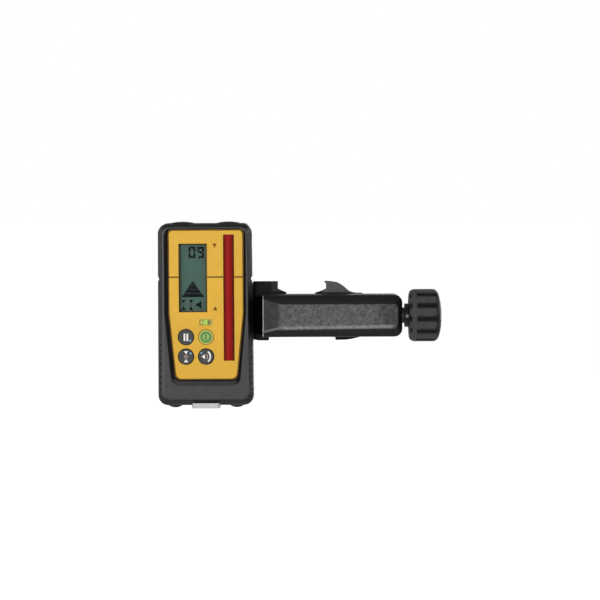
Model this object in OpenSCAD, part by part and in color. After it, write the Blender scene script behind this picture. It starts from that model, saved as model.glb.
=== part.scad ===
// Hand-held laser receiver carried by a screw-driven clamp with two jaws.
// X runs from the receiver towards the clamp knob, Y from the display to the back, Z up.
// The origin is the middle of the throat between the jaws, level with the clamp screw.

/* [Receiver] */
// Width of the receiver body at its lower end
body_w = 69.5; // [66:0.1:76]
// Width of the receiver body at its upper end
body_top_w = 68.4; // [66:0.1:76]
// Height of the receiver body
body_h = 132; // [120:1:150]
// Depth of the receiver body, front face to back face
body_d = 27; // [27:0.5:34]
// Wall of the two housings
wall = 2.8; // [2.4:0.1:3.2]
// Depth of the front housing, front face to the joint with the rear housing
front_d = 13; // [12.5:0.5:15]
// Corner radius of the receiver outline
corner_r = 7.2; // [6:0.2:10]

/* [Face panel] */
// Width of the panel above its taper
panel_w = 54.4; // [51:0.2:55]
// Width of the panel at its lower edge
panel_low_w = 44.8; // [42:0.2:50]
// From the top of the body down to the panel
panel_drop = 4; // [3.6:0.2:6]
// From the bottom of the body up to the panel
panel_rise = 19.3; // [18:0.1:24]
// How far the panel lies behind the front face
panel_recess = 1.6; // [1:0.1:1.8]

/* [Display, window and keys] */
// Width of the display opening
lcd_w = 20.6; // [16:0.2:22]
// From the panel's lower edge up to the display opening
lcd_rise = 49; // [48.5:0.1:60]
// Width of the detector window
sensor_w = 7.8; // [6:0.2:9]
// From the panel's lower edge up to the detector window
sensor_rise = 13.7; // [10:0.1:30]
// Diameter of a key
key_d = 11.2; // [9:0.1:12]
// Travel of a key
key_travel = 0.8; // [0.4:0.1:0.9]

/* [Rod clamp] */
// Opening between the two jaw pads as the clamp stands
rod_gap = 45; // [44:1:52]
// Depth of the throat behind the jaw lips
throat_d = 28; // [24:1:36]
// Height of the two jaws
jaw_h = 43.2; // [40:0.4:50]
// Height of the clamp arm
arm_h = 30.6; // [30:0.2:34]
// Depth of the clamp arm, front to back
arm_d = 21; // [20.5:0.5:24]
// Travel of the moving jaw each way from where it stands
jaw_travel = 20; // [14:1:20]

/* [Knob and screw] */
// Diameter of the knob
knob_d = 38.2; // [32:0.2:44]
// Length of the knob
knob_len = 23.6; // [18:0.2:30]
// Grip flutes round the knob
knob_flutes = 12; // [8:1:14]
// Diameter of the clamp screw
screw_d = 8; // [7:0.1:9]

/* [Battery bay] */
// Diameter of a battery cell
cell_d = 14.4; // [13.8:0.1:14.4]
// From the side wall of the housing to the battery tray
bay_side = 3.2; // [3.2:0.1:6]

/* [Hidden] */
// Clearances and working values that serve the whole part
fit = 0.1;
run_fit = 0.05;
slide_gap = 0.3;
overrun = 1;
skin = 0.2;
arc_steps = 6;
$fn = 48;

// Jaws, lips and pads of the clamp
jaw_lift = 2.75;
jaw_wall = 10;
jaw_fall = 2.5;
pad_t = 2;
pad_margin = 1.6;
lip_t = 4;
lip_reach = 4.9;
lip_gap = 0.5;
jaw_r = 2.4;
edge_r = 0.6;
jaw_x = rod_gap / 2 + pad_t;
jaw_top = jaw_lift + jaw_h / 2;
jaw_low = jaw_lift - jaw_h / 2;
throat_front = -throat_d / 2;
throat_back = throat_d / 2;
arm_back = throat_front - lip_t - lip_gap;
arm_front = arm_back - arm_d;
lip_inner = rod_gap / 2 - lip_reach;
flare_reach = 13;
flare_h = 3.6;
flare_fixed_share = 0.48;
flare_moving_share = 0.62;
pointer_reach = 1.6;
pointer_h = 1.8;

// Clamp screw, bushes, rings and nut
journal_d = 6;
journal_len = 5;
bush_wall = 1.6;
bush_proud = 1.3;
bush_flange_t = 1.2;
inner_bush_d = journal_d + 2 * bush_wall;
outer_bush_d = screw_d + 2 * run_fit + 2 * bush_wall;
washer_t = 1;
ring_d = 12.4;
ring_t = 1.2;
nut_d = 13.4;
nut_len = 14;
guide_len = 18;
guide_inset = 0.5;
guide_x0 = jaw_x - guide_inset;
stop_gap = 1.1;

// Tail, wall and ribs of the moving jaw; the shares run from the jaw's face to its tail's end
tail_y = 9;
tail_len = 19.6;
tail_top_shares = [[0.04, 0.99], [0.12, 0.92], [0.2, 0.82], [0.28, 0.67], [0.37, 0.47], [0.45, 0.3],
    [0.53, 0.17], [0.63, 0.07], [0.76, 0.01], [1, 0]];
tail_low_shares = [[0.06, 0.97], [0.4, 0.93], [0.6, 0.78], [0.8, 0.52], [1, 0.2]];
jaw_wall_t = 6.4;
jaw_rib_share = 0.8;

// Clamp arm, its channel and its flange
arm_overlap = 4.1;
arm_end_wall = 6.2;
arm_x0 = -(jaw_x + arm_overlap);
channel_x1 = guide_x0 + guide_len + jaw_travel + stop_gap + ring_t + washer_t + bush_flange_t;
arm_x1 = channel_x1 + arm_end_wall;
arm_bevel_z = 6.6;
arm_bevel_y = 5.5;
arm_bevel_left = 12.6;
arm_left_drop = 2.6;
arm_end_r = 5.8;
arm_wall = 3.5;
arm_left_wall = 6.6;
slot_h = 13.4;
slot_wall = 2.5;
flange_t = 4;
flange_x0 = -(jaw_x + jaw_wall - slide_gap);
flange_h = 28;
screw_y = arm_back - arm_d / 2;
channel_x0 = arm_x0 + arm_left_wall;
channel_h = arm_h - 2 * arm_wall;
bush_flange_d = arm_d - 2 * arm_wall - 2 * slide_gap;
washer_d = bush_flange_d - 2 * fit;
arm_screw_z = 8;
arm_screw_d = 3;
arm_screw_head_d = 5.4;
arm_screw_head_t = 2.8;
arm_screw_len = 18;
arm_screw_x = (flange_x0 + arm_x0) / 2;

// Knob, collar and cross pin
collar_d = 17.2;
collar_len = 3.2;
collar_gap = 0.3;
collar_x0 = arm_x1 + bush_proud + collar_gap;
knob_x0 = collar_x0 + collar_len;
knob_x1 = knob_x0 + knob_len;
knob_chamfer = 2.4;
knob_nose = 5.9;
knob_nose_shares = [[0, 1], [0.11, 0.6], [0.33, 0.3], [0.9, 0.12]];
knob_bore_len = 17;
flute_r = 2.6;
flute_depth = 0.9;
flute_phase = 4;
pin_d = 2.4;
pin_proud = 0.7;

// Clamp frame: the plate behind the receiver, its ribs and pegs
plate_t = 6;
plate_half = 24;
plate_h = 34;
plate_r = 5;
rib_t = 3;
rib_count = 3;
rib_reach = 20;
root_reach = 5;
rib_margin = 4;
side_gap = 0.8;
peg_d = 4;
peg_len = 2.4;
peg_spread = 32;

// Receiver position
receiver_x = -(jaw_x + jaw_wall + side_gap + max(body_w, body_top_w) / 2);
receiver_y = arm_front;
receiver_z = 1.2;

// Mount screw and its threaded insert
mount_d = 6.3;
mount_clear = 0.4;
mount_grip = 7;
mount_head_d = 36;
mount_head_t = 9;
mount_rim = 4;
mount_web_t = 2.2;
mount_neck_d = 11;
mount_neck_t = 1.6;
mount_washer_d = 14;
mount_washer_t = 0.8;
mount_flutes = 12;
mount_flute_r = 2.4;
insert_d = 9.4;
insert_len = 8.5;
insert_boss_wall = 2;

// Front bevel of the receiver
bevel_side = 4.3;
bevel_top = 2.2;
bevel_bottom = 5.2;
bevel_d = 7;
front_r = 5;
cavity_step = 1.2;
back_r = 2.6;

// Panel, its recess and the sloping bowl round it
panel_t = 1;
panel_shift = 0.7;
panel_r = 2.6;
panel_low_r = 4;
panel_bend_r = 18;
panel_bend_drop = 60.6;
bowl_side = 2.3;
bowl_top = 0.9;
bowl_bottom = 5.2;
floor_t = 2;
panel_top = body_h / 2 - panel_drop;
panel_low = panel_rise - body_h / 2;
panel_h = panel_top - panel_low;
panel_bend = panel_top - panel_bend_drop;
floor_front = panel_recess + panel_t;
floor_back = floor_front + floor_t;

// Display
lcd_x = -8.7;
lcd_drop = 10.1;
lcd_h = panel_h - lcd_drop - lcd_rise;
lcd_z = panel_top - lcd_drop - lcd_h / 2;
lens_t = 1.9;
lens_sink = 0.35;
module_t = 2.9;
module_margin = 2.8;

// Detector window and the board of photodiodes behind it
sensor_x = 17.2;
sensor_drop = 3.6;
sensor_h = panel_h - sensor_drop - sensor_rise;
sensor_z = panel_top - sensor_drop - sensor_h / 2;
sensor_proud = 0.3;
sensor_crown = 0.9;
sensor_flange = 1.2;
sensor_flange_t = 0.8;
diode_w = 3;
diode_h = 4.2;
diode_t = 1;
diode_count = 18;
sensor_board_w = 9.4;
sensor_board_t = 1;

// Keys, status light and switches
key_gap = 0.2;
key_proud = 0.5;
key_flange = 1.1;
key_flange_t = 0.8;
key_stem_d = 2.6;
key_stem_gap = 0.3;
key_pitch_x = 14.5;
key_pitch_z = 14.2;
key_x = -14;
key_rise = 31;
key_z = panel_low + key_rise;
switch_w = 6.2;
switch_t = 1.5;
led_w = 9;
led_h = 4.1;
led_rise = 10.7;
led_flange = 0.9;
led_flange_t = 0.8;

// Boards and sounder
switch_front = floor_back + fit + key_flange_t + key_travel + fit;
board_front = switch_front + switch_t;
board_t = 1.2;
board_back = board_front + board_t;
board_top_margin = 5.5;
board_rise = 27.5;
board_low = board_rise - body_h / 2;
sounder_d = 17;
sounder_t = 2.6;
sounder_x = -12;
sounder_drop = 20;
sounder_z = body_h / 2 - sounder_drop;
port_share = 0.17;

// Housing screws, their posts and the seal between the housings
post_d = 4.4;
pilot_d = 1.9;
case_screw_d = 1.8;
case_screw_clear = 2.3;
case_screw_head_d = 3.6;
case_screw_head_t = 1.5;
case_screw_bite = 5;
case_screw_slot_l = 2.5;
case_screw_slot_w = 0.45;
post_x = min(body_w, body_top_w) / 2 - wall - post_d / 2 - fit;
post_top_z = body_h / 2 - wall - post_d / 2 - cavity_step;
post_low_share = 0.82;
post_low_x = post_x * post_low_share;
post_low_z = -body_h / 2 + wall + post_d / 2 + fit;
seal_w = 1;
seal_t = 1;
seal_inset = 1.2;

// Bumpers, feet, grip grooves and the on-grade notches
bumper_w = 18;
bumper_d = 12;
bumper_h = 1.1;
bumper_x = 16.7;
foot_w = 11;
foot_d = 9;
foot_h = 1.9;
foot_x = 22.4;
index_lift = 0.3;
index_z = lcd_z + index_lift;
notch = 1.2;
groove_count = 9;
groove_pitch = 4.6;
groove_w = 1.1;
groove_depth = 0.7;
groove_rise = 7.5;
groove_low_z = groove_rise - body_h / 2;

// Battery bay: tray, contacts, springs, door, hinge and latch
tray_wall = 0.8;
tray_t = 0.8;
contact_t = 0.5;
contact_w = 9;
spring_room = 3.4;
spring_wire = 0.6;
spring_turns = 2.5;
spring_r0 = 4;
spring_r1 = 2;
spring_rings = 8;
spring_sides = 6;
nub_d = 5.4;
nub_len = 1;
cell_pitch = 14.8;
bay_rise = 25.4;
bay_z = bay_rise - body_h / 2;
door_t = 2.1;
door_gap = 0.3;
door_lip = 1.6;
seat_t = 0.9;
rim_t = 2;
door_seal_w = 1.2;
barrel_r = 1.9;
hinge_pin_d = 1.6;
barrel_len = 38;
ear_len = 3;
hinge_rise = 3.4;
swing_gap = 0.8;
tray_rim_share = 0.25;
tray_len = min(body_w, body_top_w) - 2 * wall - 2 * bay_side;
tray_in_len = tray_len - 2 * tray_wall;
cell_len = tray_in_len - spring_room - 2 * contact_t;
tray_h = cell_pitch + cell_d + 2 * tray_wall + 2 * fit;
tray_front = board_back + fit;
cell_y = tray_front + tray_t + fit + cell_d / 2;
door_back = body_d;
door_front = body_d - door_t;
door_w = tray_len + 2 * door_lip;
door_h = tray_h + 2 * door_lip;
door_top = bay_z + door_h / 2;
door_low = bay_z - door_h / 2;
hinge_y = body_d - barrel_r - fit;
hinge_z = door_top + hinge_rise;
latch_w = 20.6;
latch_tip_w = 18;
latch_taper = 3.4;
latch_t = 2.4;
latch_lip_t = 3.8;
latch_lip_len = 1.2;
latch_slope_len = 3.6;
latch_proud = 2;
latch_front = 4.2;
latch_low = -body_h / 2 - latch_proud;
latch_r = 1.2;
floor_rib_t = 2.6;

// Outlines: a polygon with each corner rounded by its own radius
function unit(v) = v / norm(v);
function turned(v, a) = [v.x * cos(a) - v.y * sin(a), v.x * sin(a) + v.y * cos(a)];
function corner_arc(a, b, c, r) =
    let (u = unit(a - b), v = unit(c - b), half = acos(u * v) / 2,
         centre = b + unit(u + v) * (r / sin(half)),
         from = b + u * (r / tan(half)) - centre,
         sweep = -sign(cross(u, v)) * (180 - 2 * half))
    [for (i = [0 : arc_steps]) centre + turned(from, sweep * i / arc_steps)];
function rounded(pts, radii) =
    let (n = len(pts))
    [for (i = [0 : n - 1]) each radii[i] > 0
        ? corner_arc(pts[(i + n - 1) % n], pts[i], pts[(i + 1) % n], radii[i])
        : [pts[i]]];
function box_points(x0, z0, x1, z1, r) =
    rounded([[x0, z0], [x1, z0], [x1, z1], [x0, z1]], [r, r, r, r]);

// Extrusions: a 2-D shape in X and Z run along Y, or one in Y and Z run along X
module along_y(y0, y1) {
    translate([0, y1, 0]) rotate([90, 0, 0]) linear_extrude(height = y1 - y0) children();
}
module along_x(x0, x1) {
    translate([x0, 0, 0]) rotate([90, 0, 90]) linear_extrude(height = x1 - x0) children();
}
module disc_y(x, z, d, y0, y1) {
    along_y(y0, y1) translate([x, z]) circle(d = d);
}
module disc_x(y, z, d, x0, x1) {
    along_x(x0, x1) translate([y, z]) circle(d = d);
}
module rect_y(x, z, w, h, y0, y1) {
    along_y(y0, y1) translate([x, z]) square([w, h], center = true);
}
module at_receiver() {
    translate([receiver_x, receiver_y, receiver_z]) children();
}

// Receiver outlines, about the middle of the body
function body_points(inset) =
    rounded([[-body_w / 2 + inset, -body_h / 2 + inset], [body_w / 2 - inset, -body_h / 2 + inset],
             [body_top_w / 2 - inset, body_h / 2 - inset], [-body_top_w / 2 + inset, body_h / 2 - inset]],
            [for (i = [0 : 3]) corner_r - inset]);
function face_points() =
    rounded([[-body_w / 2 + bevel_side, -body_h / 2 + bevel_bottom],
             [body_w / 2 - bevel_side, -body_h / 2 + bevel_bottom],
             [body_top_w / 2 - bevel_side, body_h / 2 - bevel_top],
             [-body_top_w / 2 + bevel_side, body_h / 2 - bevel_top]], [for (i = [0 : 3]) front_r]);
function panel_points(side, top, bottom, shift = panel_shift) =
    let (low = panel_low_w / 2 + side, up = panel_w / 2 + side, grow = max(side, 0))
    rounded([[shift - low, panel_low - bottom], [shift + low, panel_low - bottom], [shift + up, panel_bend],
             [shift + up, panel_top + top], [shift - up, panel_top + top], [shift - up, panel_bend]],
            [panel_low_r + grow, panel_low_r + grow, panel_bend_r, panel_r + grow, panel_r + grow,
             panel_bend_r]);
post_places = [[-post_x, post_top_z], [post_x, post_top_z], [-post_low_x, post_low_z],
    [post_low_x, post_low_z]];
key_places = [for (row = [0, 1], column = [0, 1])
    [key_x + column * key_pitch_x, key_z - row * key_pitch_z]];
led_place = [key_x + key_pitch_x, key_z + led_rise];

// Latch in side view: a thick front lip that slopes down to a thin tongue, grown by a gap for its slot
function latch_profile(gap, low, back) =
    let (lip_top = latch_low + latch_lip_t + gap, top = latch_low + latch_t + gap,
         lip_end = latch_front + latch_lip_len + gap)
    [[latch_front - gap, low], [latch_front - gap, lip_top], [lip_end, lip_top],
     [lip_end + latch_slope_len, top], [back, top], [back, low]];
module latch_slot() {
    half = latch_w / 2 + door_gap;
    along_x(-half, half) polygon(latch_profile(door_gap, latch_low - overrun, body_d + overrun));
}

// On-grade notches in both sides of the body
module index_notches(y0, y1) {
    half = max(body_w, body_top_w) / 2;
    for (side = [-1, 1])
        along_y(y0, y1) translate([side * half, index_z])
            rotate(45) square(2 * notch * cos(45), center = true);
}

// Front housing: bevelled bezel, sloping bowl, floor with its openings, screw posts
module front_housing() {
    color("dimgray") at_receiver() difference() {
        union() {
            difference() {
                hull() {
                    along_y(0, skin) polygon(face_points());
                    along_y(bevel_d, front_d) polygon(body_points(0));
                }
                hull() {
                    along_y(-overrun, 0) polygon(panel_points(bowl_side, bowl_top, bowl_bottom, 0));
                    along_y(panel_recess - skin, panel_recess) polygon(panel_points(fit, fit, fit));
                }
                along_y(0, floor_front) polygon(panel_points(fit, fit, fit));
                along_y(floor_back, bevel_d) polygon(body_points(wall + cavity_step));
                along_y(bevel_d - skin, front_d + overrun) polygon(body_points(wall));
            }
            for (p = post_places) disc_y(p.x, p.y, post_d, floor_back - skin, front_d);
            translate([-latch_w / 2 - wall, floor_back - skin, -body_h / 2 + wall - skin])
                cube([latch_w + 2 * wall, front_d - floor_back + skin, floor_rib_t + skin]);
        }
        for (p = post_places) disc_y(p.x, p.y, pilot_d, front_d - case_screw_bite, front_d + overrun);
        rect_y(lcd_x, lcd_z, lcd_w, lcd_h, 0, floor_back + overrun);
        rect_y(sensor_x, sensor_z, sensor_w, sensor_h, 0, floor_back + overrun);
        for (p = key_places) disc_y(p.x, p.y, key_d + 2 * key_gap, 0, floor_back + overrun);
        rect_y(led_place.x, led_place.y, led_w + 2 * fit, led_h + 2 * fit, 0, floor_back + overrun);
        index_notches(-overrun, front_d + overrun);
        latch_slot();
        for (side = [-1, 1], i = [0 : groove_count - 1])
            translate([side * (body_w / 2 - bevel_side / 2), bevel_d / 2, groove_low_z + i * groove_pitch])
                rotate([0, 0, -side * atan2(bevel_d, bevel_side)])
                    cube([2 * bevel_d, 2 * groove_depth, groove_w], center = true);
    }
}

// Rear housing: rounded back, battery opening, insert boss, screw posts, hinge ears
module rear_housing() {
    insert_boss_d = insert_d + 2 * insert_boss_wall;
    insert_z = jaw_lift - receiver_z;
    color("#2e2f31") at_receiver() difference() {
        union() {
            difference() {
                hull() {
                    along_y(front_d, body_d - back_r) polygon(body_points(0));
                    along_y(body_d - skin, body_d) polygon(body_points(back_r));
                }
                along_y(front_d - overrun, body_d - wall) polygon(body_points(wall));
            }
            disc_y(0, insert_z, insert_boss_d, body_d - insert_len - wall, body_d - skin);
            for (side = [-1, 1])
                disc_y(side * peg_spread / 2, insert_z, peg_d + 2 * wall,
                    body_d - peg_len - wall, body_d - skin);
            for (p = post_places) disc_y(p.x, p.y, post_d, front_d, body_d - skin);
            rect_y(0, bay_z, door_w + 2 * rim_t, door_h + 2 * rim_t,
                door_front - seat_t - rim_t, body_d - wall + skin);
            rect_y(0, hinge_z, barrel_len + 2 * ear_len + 2 * rim_t, 2 * barrel_r + 2 * rim_t,
                hinge_y - barrel_r - rim_t, body_d - wall + skin);
            translate([-latch_w / 2 - wall, front_d, -body_h / 2 + wall - skin])
                cube([latch_w + 2 * wall, body_d - front_d - wall + skin, floor_rib_t + skin]);
        }
        // opening for the cells, and the ledge that the door seal closes on, higher where the door swings
        rect_y(0, bay_z, tray_len + 2 * slide_gap, tray_h + 2 * slide_gap, front_d, body_d + overrun);
        translate([-door_w / 2 - door_gap, door_front - seat_t, door_low - door_gap])
            cube([door_w + 2 * door_gap, door_t + seat_t + overrun, door_h + door_gap + swing_gap]);
        // hinge barrel pocket between the two ears, and the pin bore through them
        translate([-barrel_len / 2 - door_gap, hinge_y - barrel_r - door_gap, door_top])
            cube([barrel_len + 2 * door_gap, 2 * barrel_r + door_gap + overrun,
                hinge_rise + barrel_r + swing_gap]);
        disc_x(hinge_y, hinge_z, hinge_pin_d + 2 * run_fit,
            -barrel_len / 2 - ear_len, barrel_len / 2 + ear_len);
        disc_y(0, insert_z, insert_d, body_d - insert_len, body_d + overrun);
        for (side = [-1, 1])
            disc_y(side * peg_spread / 2, insert_z, peg_d + 2 * slide_gap,
                body_d - peg_len - slide_gap, body_d + overrun);
        for (p = post_places) {
            disc_y(p.x, p.y, case_screw_clear, front_d - overrun, body_d + overrun);
            disc_y(p.x, p.y, case_screw_head_d + 2 * fit, body_d - case_screw_head_t - fit, body_d + overrun);
        }
        along_y(front_d - overrun, front_d + seal_t) difference() {
            polygon(body_points(seal_inset));
            polygon(body_points(seal_inset + seal_w));
        }
        index_notches(front_d - overrun, body_d + overrun);
        latch_slot();
        translate([-latch_w / 2 - door_gap, door_front - door_gap, latch_low - overrun])
            cube([latch_w + 2 * door_gap, door_t + door_gap + overrun, door_low - latch_low + 2 * overrun]);
    }
}

// Rubber cord in the joint between the two housings
module housing_seal() {
    color("black") at_receiver() along_y(front_d, front_d + seal_t - fit) difference() {
        polygon(body_points(seal_inset + fit));
        polygon(body_points(seal_inset + seal_w - fit));
    }
}

// Four screws that close the two housings from the back
module housing_screws() {
    head_front = body_d - case_screw_head_t;
    color("silver") at_receiver() for (p = post_places) {
        disc_y(p.x, p.y, case_screw_d, front_d - case_screw_bite + fit, head_front + skin);
        difference() {
            disc_y(p.x, p.y, case_screw_head_d, head_front, body_d - fit);
            rect_y(p.x, p.y, case_screw_slot_l, case_screw_slot_w, body_d - case_screw_head_t / 2, body_d);
            rect_y(p.x, p.y, case_screw_slot_w, case_screw_slot_l, body_d - case_screw_head_t / 2, body_d);
        }
    }
}

// Yellow face panel with its openings
module face_panel() {
    color("goldenrod") at_receiver() difference() {
        along_y(panel_recess, floor_front) polygon(panel_points(0, 0, 0));
        rect_y(lcd_x, lcd_z, lcd_w, lcd_h, 0, floor_back);
        rect_y(sensor_x, sensor_z, sensor_w, sensor_h, 0, floor_back);
        for (p = key_places) disc_y(p.x, p.y, key_d + 2 * key_gap, 0, floor_back);
        rect_y(led_place.x, led_place.y, led_w + 2 * fit, led_h + 2 * fit, 0, floor_back);
    }
}

// Clear window over the display
module display_window() {
    front = panel_recess + lens_sink;
    color("lightcyan", 0.4) at_receiver()
        rect_y(lcd_x, lcd_z, lcd_w - 2 * fit, lcd_h - 2 * fit, front, front + lens_t);
}

// Liquid crystal display on its carrier
module lcd_module() {
    color("#6f8a80") at_receiver()
        rect_y(lcd_x, lcd_z, lcd_w + 2 * module_margin, lcd_h + 2 * module_margin,
            floor_back + fit, floor_back + fit + module_t);
}

// Red filter over the photodiodes, crowned along its length and flanged behind the floor
module sensor_window() {
    front = panel_recess - sensor_proud;
    half = sensor_w / 2 - fit;
    crown_r = (half * half + sensor_crown * sensor_crown) / (2 * sensor_crown);
    color("firebrick") at_receiver() {
        intersection() {
            rect_y(sensor_x, sensor_z, 2 * half, sensor_h - 2 * fit, front, floor_back + fit + skin);
            translate([sensor_x, front + crown_r, sensor_z])
                cylinder(r = crown_r, h = sensor_h, center = true);
        }
        rect_y(sensor_x, sensor_z, sensor_w + 2 * sensor_flange, sensor_h + 2 * sensor_flange,
            floor_back + fit, floor_back + fit + sensor_flange_t);
    }
}

// Narrow board that carries the photodiodes
module sensor_board() {
    color("darkgreen") at_receiver()
        rect_y(sensor_x, sensor_z, sensor_board_w, sensor_h,
            board_front - sensor_board_t - fit, board_front - fit);
}

// Row of photodiodes behind the red window
module photodiodes() {
    pitch = sensor_h / diode_count;
    back = board_front - sensor_board_t - fit;
    color("black") at_receiver() for (i = [0 : diode_count - 1])
        rect_y(sensor_x, sensor_z - sensor_h / 2 + (i + 1 / 2) * pitch, diode_w,
            min(diode_h, pitch - slide_gap), back - diode_t, back);
}

// Main board behind the display and the keys
module main_board() {
    top = body_h / 2 - board_top_margin;
    half = post_x - post_d / 2 - slide_gap;
    color("darkgreen") at_receiver() along_y(board_front, board_back)
        polygon(box_points(-half, board_low, half, top, post_d / 2));
}

// One switch on the board under each key, with a well for the key's stem
module key_switches() {
    color("#3a3a3a") at_receiver() for (p = key_places) difference() {
        rect_y(p.x, p.y, switch_w, switch_w, switch_front, board_front);
        disc_y(p.x, p.y, key_stem_d + 2 * slide_gap, switch_front - overrun, board_front - skin);
    }
}

// Sounder on the back of the main board
module sounder() {
    color("#1c1c1c") at_receiver() difference() {
        disc_y(sounder_x, sounder_z, sounder_d, board_back, board_back + sounder_t);
        disc_y(sounder_x, sounder_z, sounder_d * port_share,
            board_back + sounder_t / 2, board_back + sounder_t + overrun);
    }
}

// Green light guide above the power key
module status_light() {
    color("yellowgreen") at_receiver() {
        rect_y(led_place.x, led_place.y, led_w, led_h, panel_recess, floor_back + fit + skin);
        rect_y(led_place.x, led_place.y, led_w + 2 * led_flange, led_h + 2 * led_flange,
            floor_back + fit, floor_back + fit + led_flange_t);
    }
}

// One key: a cap in the panel, a flange behind the floor, a stem into its switch
module key(place) {
    flange_front = floor_back + fit;
    flange_back = flange_front + key_flange_t;
    at_receiver() {
        disc_y(place.x, place.y, key_d, panel_recess - key_proud, flange_front + skin);
        disc_y(place.x, place.y, key_d + 2 * key_gap + 2 * key_flange, flange_front, flange_back);
        disc_y(place.x, place.y, key_stem_d, flange_back - skin, switch_front + key_stem_gap);
    }
}
module hold_key() { color("#4a4a4c") key(key_places[0]); }
module power_key() { color("#b9c65a") key(key_places[1]); }
module precision_key() { color("#4a4a4c") key(key_places[2]); }
module sound_key() { color("#4a4a4c") key(key_places[3]); }

// Low rubber pad on the top or bottom face: a shallow arc run from front to back
function crown_points(w, h) =
    let (r = (w * w / 4 + h * h) / (2 * h), spread = asin(w / 2 / r), steps = 2 * arc_steps)
    [for (i = [0 : steps]) let (a = spread * (1 - 2 * i / steps)) [r * sin(a), r * cos(a) - r + h]];
module crowned_pad(x, z, up, w, d, h) {
    middle = (bevel_d + body_d - back_r) / 2;
    along_y(middle - d / 2, middle + d / 2) translate([x, z]) scale([1, up]) polygon(crown_points(w, h));
}
module top_bumpers() {
    color("#202124") at_receiver() for (side = [-1, 1])
        crowned_pad(side * bumper_x, body_h / 2, 1, bumper_w, bumper_d, bumper_h);
}
module bottom_feet() {
    color("#303134") at_receiver() for (side = [-1, 1])
        crowned_pad(side * foot_x, -body_h / 2, -1, foot_w, foot_d, foot_h);
}

// Brass insert that the mount screw threads into
module threaded_insert() {
    insert_z = jaw_lift - receiver_z;
    color("peru") at_receiver() difference() {
        disc_y(0, insert_z, insert_d, body_d - insert_len, body_d - fit);
        disc_y(0, insert_z, mount_d + 2 * run_fit, body_d - insert_len - overrun, body_d + overrun);
    }
}

// Tray that holds the two cells side by side across the body
module battery_tray() {
    color("#26272a") at_receiver() difference() {
        rect_y(0, bay_z, tray_len, tray_h, tray_front, cell_y + cell_d * tray_rim_share);
        rect_y(0, bay_z, tray_in_len, tray_h - 2 * tray_wall, tray_front + tray_t, body_d);
    }
}

// Height of each cell's middle; the first points to +X and the second to -X
function cell_z(i) = bay_z + (i == 0 ? 1 : -1) * cell_pitch / 2;

// Flat contact plates, one at each end of each cell
module battery_contacts() {
    middle = (tray_in_len - contact_t) / 2;
    color("silver") at_receiver() for (i = [0, 1], end = [-1, 1])
        translate([end * middle, cell_y, cell_z(i)]) cube([contact_t, contact_w, contact_w], center = true);
}

// Conical springs at the flat ends of the cells: one tube swept along a narrowing helix
spring_steps = spring_turns * spring_rings;
spring_len = spring_room - spring_wire;
function spring_point(i) =
    let (t = i / spring_steps, r = spring_r0 + (spring_r1 - spring_r0) * t, a = 360 * spring_turns * t)
    [spring_wire / 2 + spring_len * t, r * cos(a), r * sin(a)];
spring_path = [for (i = [0 : spring_steps]) spring_point(i)];
spring_self_gap = min([for (i = [0 : spring_steps - spring_rings], j = [i + spring_rings - 2 : spring_steps])
    norm(spring_path[i] - spring_path[j])]) - spring_wire;
function ring_frame(i) =
    let (a = spring_path[max(i - 1, 0)], b = spring_path[min(i + 1, spring_steps)],
         t = unit(b - a), n = unit(cross([1, 0, 0], t)), m = cross(t, n)) [n, m];
spring_points = [for (i = [0 : spring_steps], k = [0 : spring_sides - 1])
    let (f = ring_frame(i), a = 360 * k / spring_sides)
    spring_path[i] + (f[0] * cos(a) + f[1] * sin(a)) * spring_wire / 2];
spring_faces = concat(
    [for (i = [0 : spring_steps - 1], k = [0 : spring_sides - 1])
        let (a = i * spring_sides + k, b = i * spring_sides + (k + 1) % spring_sides)
        each [[a, a + spring_sides, b], [b, a + spring_sides, b + spring_sides]]],
    [for (k = [1 : spring_sides - 2]) each [[0, k, k + 1],
        let (e = spring_steps * spring_sides) [e, e + k + 1, e + k]]]);
module battery_springs() {
    echo(spring_self_gap = spring_self_gap);
    color("silver") at_receiver() for (i = [0, 1])
        translate([(2 * i - 1) * (tray_in_len / 2 - contact_t), cell_y, cell_z(i)])
            rotate([0, 0, 180 * i]) polyhedron(spring_points, spring_faces);
}

// Two cells, the button end of each against its flat contact
module battery_cells() {
    nub_end = tray_in_len / 2 - contact_t - fit;
    can_end = nub_end - nub_len;
    color("slategray") at_receiver() for (i = [0, 1]) mirror([i, 0, 0]) {
        disc_x(cell_y, cell_z(i), cell_d, nub_end - cell_len, can_end);
        disc_x(cell_y, cell_z(i), nub_d, can_end - skin, nub_end);
    }
}

// Battery door with its hinge barrel
module battery_door() {
    color("#2e2f31") at_receiver() difference() {
        union() {
            along_y(door_front, door_back)
                polygon(box_points(-door_w / 2, door_low, door_w / 2, door_top, door_lip));
            disc_x(hinge_y, hinge_z, 2 * barrel_r, -barrel_len / 2, barrel_len / 2);
            translate([-barrel_len / 2, door_front, door_top - door_lip])
                cube([barrel_len, door_t, hinge_z - door_top + door_lip]);
        }
        disc_x(hinge_y, hinge_z, hinge_pin_d + 2 * run_fit, -barrel_len, barrel_len);
        translate([-latch_w / 2 - fit, door_front - overrun, door_low - overrun])
            cube([latch_w + 2 * fit, door_t + 2 * overrun, door_lip + overrun]);
    }
}

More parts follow.
